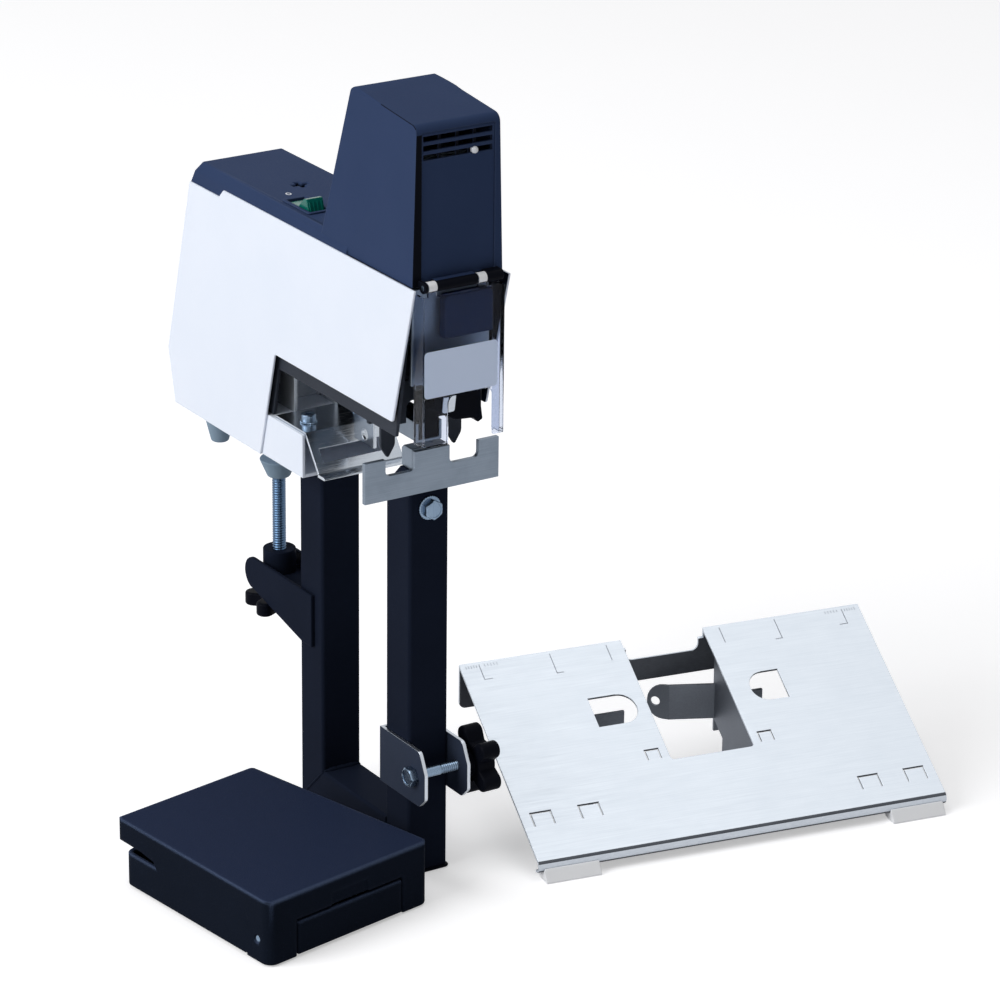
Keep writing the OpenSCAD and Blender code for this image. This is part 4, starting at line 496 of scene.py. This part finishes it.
# Saddle plate: brushed on top, painted shade on the folds that look to the front or down, and painted dark
# and pale reflection bands round the front bead.
def plate_painted_light(n, at):
    bead = at.y < -38 and at.z < 16 and n.z < 0.83
    # painted dark bands of reflection and shade on the bead's upper and lower turns
    if bead and (n.z > 0.55 or n.z < -0.4):
        return 1
    # painted pale reflection band across the bead's front
    if bead and n.z > -0.35:
        return 2
    # painted shade on faces that look to the front or down
    return int(n.y < -0.8 or n.z < -0.3)


eased("table_plate", 0.3, 2, [TABLE_STEEL, SHADE_AND_REFLECTION_STEEL, PALE_STEEL], plate_painted_light)


def carved(name, cuts):
    """The node with boxes cut out of it."""
    body = bpy.data.objects.new(name + "_body", frame["nodes"][name].data.copy())
    tool = bmesh.new()
    for low, high in cuts:
        corners = ((low[0], low[2]), (high[0], low[2]), (high[0], high[2]), (low[0], high[2]))
        loft([[(x, y, z) for x, z in corners] for y in (low[1], high[1])], True, tool)
    mesh = bpy.data.meshes.new(name + "_cutter")
    tool.to_mesh(mesh)
    tool.free()
    cutter = bpy.data.objects.new(name + "_cutter", mesh)
    for helper in (body, cutter):
        bpy.context.scene.collection.objects.link(helper)
    cut = body.modifiers.new("grooves", "BOOLEAN")
    cut.object = cutter
    result = body.evaluated_get(bpy.context.evaluated_depsgraph_get()).to_mesh()
    work = bmesh.new()
    work.from_mesh(result)
    for helper in (body, cutter):
        bpy.data.objects.remove(helper)
    return work


# Front panel: each row of vents is a groove across the panel, with its ribs set back and painted black as
# painted shade.
def vent_panel():
    low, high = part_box("front_panel")
    front, top = low.y / MM, high.z / MM
    groove_w, groove_h, pitch, depth = 42.6, 3.2, 5.0, 1.2
    grooves = []
    for row in range(3):
        bottom = top - pitch * (row + 1)
        grooves.append(((-groove_w / 2, front - 1, bottom),
                        (groove_w / 2, front + depth, bottom + groove_h)))
    work = carved("front_panel", grooves)
    work.normal_update()
    for face in work.faces:
        set_back = face.calc_center_median().y / MM > front + 0.5 * depth
        # painted shade: the set-back front faces inside the grooves are black
        face.material_index = int(face.normal.y < -0.9 and set_back)
    return piece("front_panel_grooves", work, [SLATE_ABS, BLACK_ABS], "frame", ("front_panel",))


vent_panel()


# Pedal skirts: thin cheeks of the treadle that lap over the base along most of its sides.
def pedal_skirts():
    front_y, rear_y, front_half, rear_half = -69.5, 69.5, 58.5, 49.0
    thick = 0.4
    work = bmesh.new()

    def side_at(y):
        return front_half + (rear_half - front_half) * (y - front_y) / (rear_y - front_y)

    # length, lower edge, upper edge and thickness of the cheek at stations from front to rear
    stations = ((-54.0, 2.6, 30.0, 0.02), (-46.0, 2.6, 31.0, thick), (10.0, 3.6, 32.0, thick),
                (24.0, 10.0, 32.0, thick), (34.0, 24.5, 32.0, thick), (60.0, 28.0, 31.0, 0.02))
    for s in (-1, 1):
        rings = []
        for y, low, high, t in stations:
            inner, outer = s * (side_at(y) - 0.02), s * (side_at(y) + t)
            fade = low + 0.4 * (high - low)
            rings.append([(inner, y, low), (outer, y, low), (outer, y, fade), (inner, y, high)])
        loft(moved(rings, PEDAL_SPOT), True, work)
    return piece("pedal_treadle_skirts", work, SKIRT_ABS, "treadle")


pedal_skirts()


# Coil springs: zinc-plated copies of the solids, each with a mesh of its own.
def spring(name):
    made = piece(name + "_coil", cad_copy(name), ZINC_STEEL, BODY_OF[name], (name,), 60)
    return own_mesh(made)


spring("return_spring")
spring("pedal_spring")


# Post bracket: painted faces, bare sheared edges on the ears.
def bracket():
    work = cad_copy("post_bracket")
    round_off(work, sharp_edges(work), 0.3, 2)
    ears_end = 8.0
    for face in work.faces:
        if abs(face.normal.x) < 0.5 and face.calc_center_median().y < ears_end * MM:
            face.material_index = 1
    return piece("post_bracket_eased", work, [BRACKET_COAT, BARE_EDGE], "collar",
                 ("post_bracket",))


bracket()


# Clamp screw: M8 stud with a 1.5 mm rolled thread.
def clamp_screw():
    low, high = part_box("clamp_screw")
    middle = (low + high) / 2 / MM
    rings = thread_rings((high.x - low.x) / MM, low.z / MM, high.z / MM, 1.5, 0.55)
    spot = Matrix.Translation((middle.x, middle.y, 0))
    return piece("clamp_screw_thread", loft(moved(rings, spot)), STUD_STEEL, "screw",
                 ("clamp_screw",), 60)


clamp_screw()


def hex_head_rings(across, tall, sides=60):
    """Hexagon head whose corners are turned off on its outer side."""
    levels = (0.0, 0.3, 0.55, 0.7, 0.8, 0.9, 1.0)
    dish_r, dish_deep = 0.82 * across / 2, 0.35
    rings = []
    for k in levels:
        z = k * tall
        cone = across / 2 * 0.97 + (tall - z) * 1.6
        rings += turned([(across, z)], sides, lambda r, a: min(hexagon(r, a), cone))
    return rings + turned([(dish_r, tall), (dish_r, tall - dish_deep)], sides)


# Bracket bolt: hexagon head outside the left ear, thread to the right.
def bracket_bolt():
    low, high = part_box("bracket_bolt")
    middle = (low + high) / 2 / MM
    head_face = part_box("post_bracket")[0].x / MM
    head_tall = head_face - low.x / MM
    to_left = Matrix.Translation((head_face, middle.y, middle.z)) @ Matrix.Rotation(-math.pi / 2, 4, "Y")
    work = loft(moved(hex_head_rings(HEX_ACROSS, head_tall), to_left))
    plain_end = 2.0
    rod = [(2.7, -0.2), (2.95, 0.1), (2.95, plain_end - head_face - 0.3), (2.7, plain_end - head_face)]
    to_right = Matrix.Translation((head_face, middle.y, middle.z)) @ Matrix.Rotation(math.pi / 2, 4, "Y")
    loft(moved(turned(rod, 30), to_right), True, work)
    cut = thread_rings(5.9, plain_end - head_face - 0.05, high.x / MM - head_face, 1.25, 0.45)
    loft(moved(cut, to_right), True, work)
    return piece("bracket_bolt_hex", work, ZINC_STEEL, "collar", ("bracket_bolt",), 40)


bracket_bolt()


# Anvil bolt: hexagon head on a flat washer with a toothed rim.
def anvil_bolt():
    low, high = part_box("anvil_bolt")
    middle = (low + high) / 2 / MM
    face = -12.5
    washer_t, washer_r = 1.2, 6.9
    to_front = Matrix.Translation((middle.x, face, middle.z)) @ Matrix.Rotation(math.pi / 2, 4, "X")

    def toothed(r, a):
        return r - 0.25 * (r > washer_r - 0.4) * (0.5 - 0.5 * math.cos(28 * a))

    washer = [(washer_r - 0.5, 0.0), (washer_r, 0.25), (washer_r, washer_t - 0.35),
              (washer_r - 0.5, washer_t), (washer_r - 1.5, washer_t + 0.05)]
    work = loft(moved(turned(washer, 112, toothed), to_front))
    lift = Matrix.Translation((0, 0, washer_t))
    head_tall = -(low.y / MM - face) - washer_t
    loft(moved(hex_head_rings(HEX_ACROSS, head_tall), to_front @ lift), True, work)
    back = [(2.9, -0.05), (2.9, face - high.y / MM)]
    loft(moved(turned(back, 24), to_front), True, work)
    return piece("anvil_bolt_hex", work, ZINC_STEEL, "frame", ("anvil_bolt",), 40)


anvil_bolt()


# Stop screws: socket heads with a knurled side on toothed washers.
def stop_screws():
    low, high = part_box("stop_screws")
    washer_r = 5.0
    spots = (low.x / MM + washer_r, high.x / MM - washer_r)
    y = (low.y + high.y) / 2 / MM
    seat = 238.1
    top = high.z / MM
    work = bmesh.new()

    def toothed(r, a):
        return r - 0.45 * (r > 4.5) * (0.5 - 0.5 * math.cos(24 * a))

    def knurled(r, a):
        return r - 0.12 * (0.5 - 0.5 * math.cos(30 * a))

    for x in spots:
        spot = Matrix.Translation((x, y, 0))
        washer = [(3.0, seat), (4.8, seat + 0.05), (4.9, seat + 0.5), (4.7, seat + 0.8),
                  (3.0, seat + 0.85)]
        loft(moved(turned(washer, 96, toothed), spot), True, work)
        head = turned([(4.2, seat + 0.9), (4.25, seat + 1.1), (4.25, top - 0.9)], 90, knurled)
        head += turned([(4.2, top - 0.5), (3.7, top), (2.6, top)], 90)
        head += turned([(4.0, top - 0.1), (4.0, top - 2.0)], 90, hexagon)
        loft(moved(head, spot), True, work)
        shank = [(2.4, low.z / MM), (2.45, low.z / MM + 0.4), (2.45, seat)]
        loft(moved(turned(shank, 30), spot), True, work)
    return piece("stop_screws_socket", work, ZINC_STEEL, "frame", ("stop_screws",), 40)


stop_screws()


# Rocker: rear half pressed in, front half raised, with grip ribs down its front.
def rocker():
    half_w = 5.2
    # side outline from the pivot: length to the rear and height
    outline = ((-10.6, -0.5), (-10.6, 3.0), (-8.4, 9.8), (-7.8, 10.6), (-5.2, 10.2), (-4.6, 9.6),
               (0.4, 4.8), (10.6, 4.0), (11.2, 3.4), (11.2, -0.5))
    spot = Matrix.Translation(ROCKER_PIVOT)
    rows = []
    for x, shrink in ((-half_w, 0.95), (-half_w + 0.4, 1.0), (half_w - 0.4, 1.0), (half_w, 0.95)):
        rows.append([(x, y * shrink, z * shrink) for y, z in outline])
    work = loft(moved(rows, spot))
    ribs, pitch = 4, 2.4
    for k in range(ribs):
        x = pitch * (k - (ribs - 1) / 2)
        rings = []
        for y, z in ((-10.4, 3.6), (-8.7, 9.0)):
            rings.append([(x - 0.5, y + 0.2, z), (x - 0.25, y - 0.4, z),
                          (x + 0.25, y - 0.4, z), (x + 0.5, y + 0.2, z)])
        loft(moved(rings, spot), True, work)
    return piece("power_rocker_lens", work, TEAL_PC, "rocker", ("power_rocker",))


rocker()


def rounded_outline(w, h, r, steps=6):
    """Points round a rectangle with rounded corners."""
    points = []
    for cx, cy, start in ((w / 2 - r, h / 2 - r, 0), (r - w / 2, h / 2 - r, 90),
                          (r - w / 2, r - h / 2, 180), (w / 2 - r, r - h / 2, 270)):
        for i in range(steps + 1):
            a = math.radians(start + 90 * i / steps)
            points.append((cx + r * math.cos(a), cy + r * math.sin(a)))
    return points


# Blank sticker on the guard's front face.
def sticker():
    middle = (-1.75, -46.5, 307.5)
    wide, tall, corner = 45.3, 26.0, 2.2
    back, face = 0.02, 0.16
    upright = Matrix.Translation(middle) @ Matrix.Rotation(math.pi / 2, 4, "X")
    rings = [[(x, y, z) for x, y in rounded_outline(wide, tall, corner)] for z in (back, face)]
    return piece("guard_sticker_blank", loft(moved(rings, upright)), STICKER, "guard")


sticker()


# Round mark of the switch, printed on the deck.
def switch_mark():
    middle = Vector((-14.4, 112.9, 363.01))
    inner, outer, ink = 1.0, 1.55, 0.12
    longer = 1.35
    sides = 36
    work = bmesh.new()
    section = [(inner, 0.0), (inner, ink), (outer, ink), (outer, 0.0)]
    rows = []
    for i in range(sides):
        a = 2 * math.pi * i / sides
        rows.append([middle + Vector((r * math.cos(a), longer * r * math.sin(a), z)) for r, z in section])
    loft(rows + rows[:1], False, work)
    bmesh.ops.remove_doubles(work, verts=work.verts, dist=0.001 * MM)
    return piece("switch_mark_ring", work, WHITE_INK, "frame")


switch_mark()


# Paper scale on the table: fine angled lines and ticks beside the ridge.
def table_scale():
    work = bmesh.new()

    def stroke(u0, v0, u1, v1, wide=0.5):
        along = Vector((u1 - u0, v1 - v0, 0)).normalized() * wide / 2
        side = Vector((-along.y, along.x, 0))
        corners = [Vector((u0, v0, 0)) - along - side, Vector((u1, v1, 0)) + along - side,
                   Vector((u1, v1, 0)) + along + side, Vector((u0, v0, 0)) - along + side]
        rings = [[(c.x, c.y, z) for c in corners] for z in (0.01, 0.06)]
        loft(moved(rings, TABLE_SPOT), True, work)

    ridge = 138.6
    # of each long line: distance from the table's middle, lower end, length of its foot
    long_lines = ((115.3, 128.2, 4.8), (71.5, 125.0, 4.0), (36.0, 128.2, 0.0))
    # of each row of ticks: first distance, spacing, lower end
    tick_rows = ((123.5, 1.6, 137.0), (112.0, 1.9, 137.2))
    ticks, tick_wide = 5, 0.35
    for s in (-1, 1):
        for u, low, foot in long_lines:
            stroke(s * u, ridge, s * u, low)
            if foot:
                stroke(s * u, low, s * (u - foot), low)
        for first, spacing, low in tick_rows:
            for k in range(ticks):
                u = s * (first - spacing * k)
                stroke(u, ridge, u, low, tick_wide)
    return piece("table_scale_lines", work, GREY_INK, "table")


table_scale()


# Weld beads where the tubes meet: a mitre low at the rear post, a seam at the front post.
def weld_beads():
    work = bmesh.new()

    def bead(start, end, r):
        start, end = Vector(start), Vector(end)
        run = end - start
        count = max(8, int(run.length / 1.1))
        sides = 10
        side = run.cross(Vector((0.3, 0.2, 0.9))).normalized()
        other = run.cross(side).normalized()
        rings = []
        for k in range(count + 1):
            t = k / count
            ripple = 1 + 0.16 * math.sin(2.6 * k) + 0.07 * math.sin(5.1 * k + 1.0)
            reach = r * ripple * min(1.0, 4 * t + 0.35, 4 * (1 - t) + 0.35)
            middle = start + run * t
            rings.append([middle + side * reach * math.cos(a) + other * reach * math.sin(a)
                          for a in (2 * math.pi * i / sides for i in range(sides))])
        loft(rings, True, work)

    # the tube's side face, the beam's lower and upper faces, and how far a bead runs across it
    flank, low, high, half = 12.4, 1.5, 26.5, 11.5
    # lengths to the rear: the mitre's lower and upper ends, and the seam at the front post
    mitre_low, mitre_high, seam = 106.0, 81.8, 12.6
    for s in (-1, 1):
        bead((s * flank, mitre_low, low + 1), (s * flank, mitre_high, high - 0.5), 0.75)
        bead((s * flank, seam, low + 2), (s * flank, seam, high - 0.3), 0.8)
    bead((-half, mitre_high - 0.5, high + 0.2), (half, mitre_high - 0.5, high + 0.2), 1.5)
    bead((-half, seam + 0.2, high + 0.1), (half, seam + 0.2, high + 0.1), 1.2)
    return piece("tube_weld_beads", work, BLACK_COAT, "frame", (), 50)


weld_beads()


# Stage, light and camera

def in_sight(tree):
    """One where a surface is seen straight, in a reflection or through clear plastic, else zero."""
    path = add(tree, "LightPath")
    seen = add(tree, "Math", {0: path.outputs["Is Camera Ray"], 1: path.outputs["Is Glossy Ray"]},
               operation="MAXIMUM")
    shown = add(tree, "Math", {0: seen.outputs["Value"], 1: path.outputs["Is Transmission Ray"]},
                operation="MAXIMUM")
    return shown.outputs["Value"]


def studio():
    """A pale floor that keeps the shadow, a white room and two soft lamps."""
    material, tree = blank("pale_studio_floor")
    place = add(tree, "TexCoord").outputs["Object"]
    mottle = add(tree, "TexNoise", {"Vector": place, "Scale": 3.0, "Detail": 2.0})
    tone = add(tree, "Mix", {"Factor": mottle.outputs["Fac"], "A": linear("#f4f4f6"),
                             "B": linear("#f1f1f3")}, data_type="RGBA")
    matt = add(tree, "BsdfDiffuse", {"Color": tone.outputs["Result"]})
    lift = add(tree, "Emission", {"Color": (1.0, 1.0, 1.0, 1.0), "Strength": 0.42})
    both = add(tree, "AddShader", {0: matt.outputs["BSDF"], 1: lift.outputs["Emission"]})
    mixed = add(tree, "MixShader", {0: in_sight(tree), 1: matt.outputs["BSDF"],
                                    2: both.outputs["Shader"]})
    add(tree, "OutputMaterial", {"Surface": mixed.outputs["Shader"]})
    mesh = bpy.data.meshes.new("studio_floor")
    reach = 14.0
    mesh.from_pydata([(-reach, -reach, 0), (reach, -reach, 0), (reach, reach, 0), (-reach, reach, 0)], [],
                     [(0, 1, 2, 3)])
    mesh.materials.append(material)
    floor = bpy.data.objects.new("studio_floor", mesh)
    floor.location.z = -0.0002
    bpy.context.scene.collection.objects.link(floor)

    world = bpy.data.worlds.new("studio_room")
    world.use_nodes = True
    tree = world.node_tree
    tree.nodes.clear()
    level = add(tree, "MapRange", {"Value": in_sight(tree), "To Min": 0.2, "To Max": 1.0})
    sky = add(tree, "Background", {"Color": (1.0, 1.0, 1.0, 1.0), "Strength": level.outputs["Result"]})
    add(tree, "OutputWorld", {"Surface": sky.outputs["Background"]})
    bpy.context.scene.world = world

    # lamps in metres and watts, all aimed at the middle of the object
    target = Vector((0.05, 0.0, 0.22))
    for name, spot, size, power in (("left_softbox", (-3.4, 0.3, 2.2), 3.0, 112.0),
                                    ("top_softbox", (0.0, 0.2, 4.0), 4.0, 54.0)):
        light = bpy.data.lights.new(name, "AREA")
        light.shape = "DISK"
        light.size = size
        light.energy = power
        lamp = bpy.data.objects.new(name, light)
        lamp.location = spot
        lamp.rotation_euler = (target - Vector(spot)).to_track_quat("-Z", "Y").to_euler()
        bpy.context.scene.collection.objects.link(lamp)


studio()


def photo_camera():
    """Camera fitted to the photograph: turn, pitch and roll in degrees, place in millimetres."""
    turn, pitch, roll = (math.radians(d) for d in (32.6, 21.3, 0.6))
    back = Vector((-math.sin(turn) * math.cos(pitch), -math.cos(turn) * math.cos(pitch), math.sin(pitch)))
    level = Vector((math.cos(turn), -math.sin(turn), 0))
    upright = back.cross(level)
    right = level * math.cos(roll) + upright * math.sin(roll)
    up = upright * math.cos(roll) - level * math.sin(roll)
    lens = bpy.data.cameras.new("photo_camera")
    lens.sensor_width = 36.0
    lens.lens = 165.6
    lens.clip_end = 60.0
    eye = bpy.data.objects.new("photo_camera", lens)
    place = Vector((-1214.7, -1982.6, 1124.5)) * MM
    eye.matrix_world = Matrix.Translation(place) @ Matrix((right, up, back)).transposed().to_4x4()
    bpy.context.scene.collection.objects.link(eye)
    bpy.context.scene.camera = eye


photo_camera()
bpy.context.scene.view_settings.view_transform = "Standard"
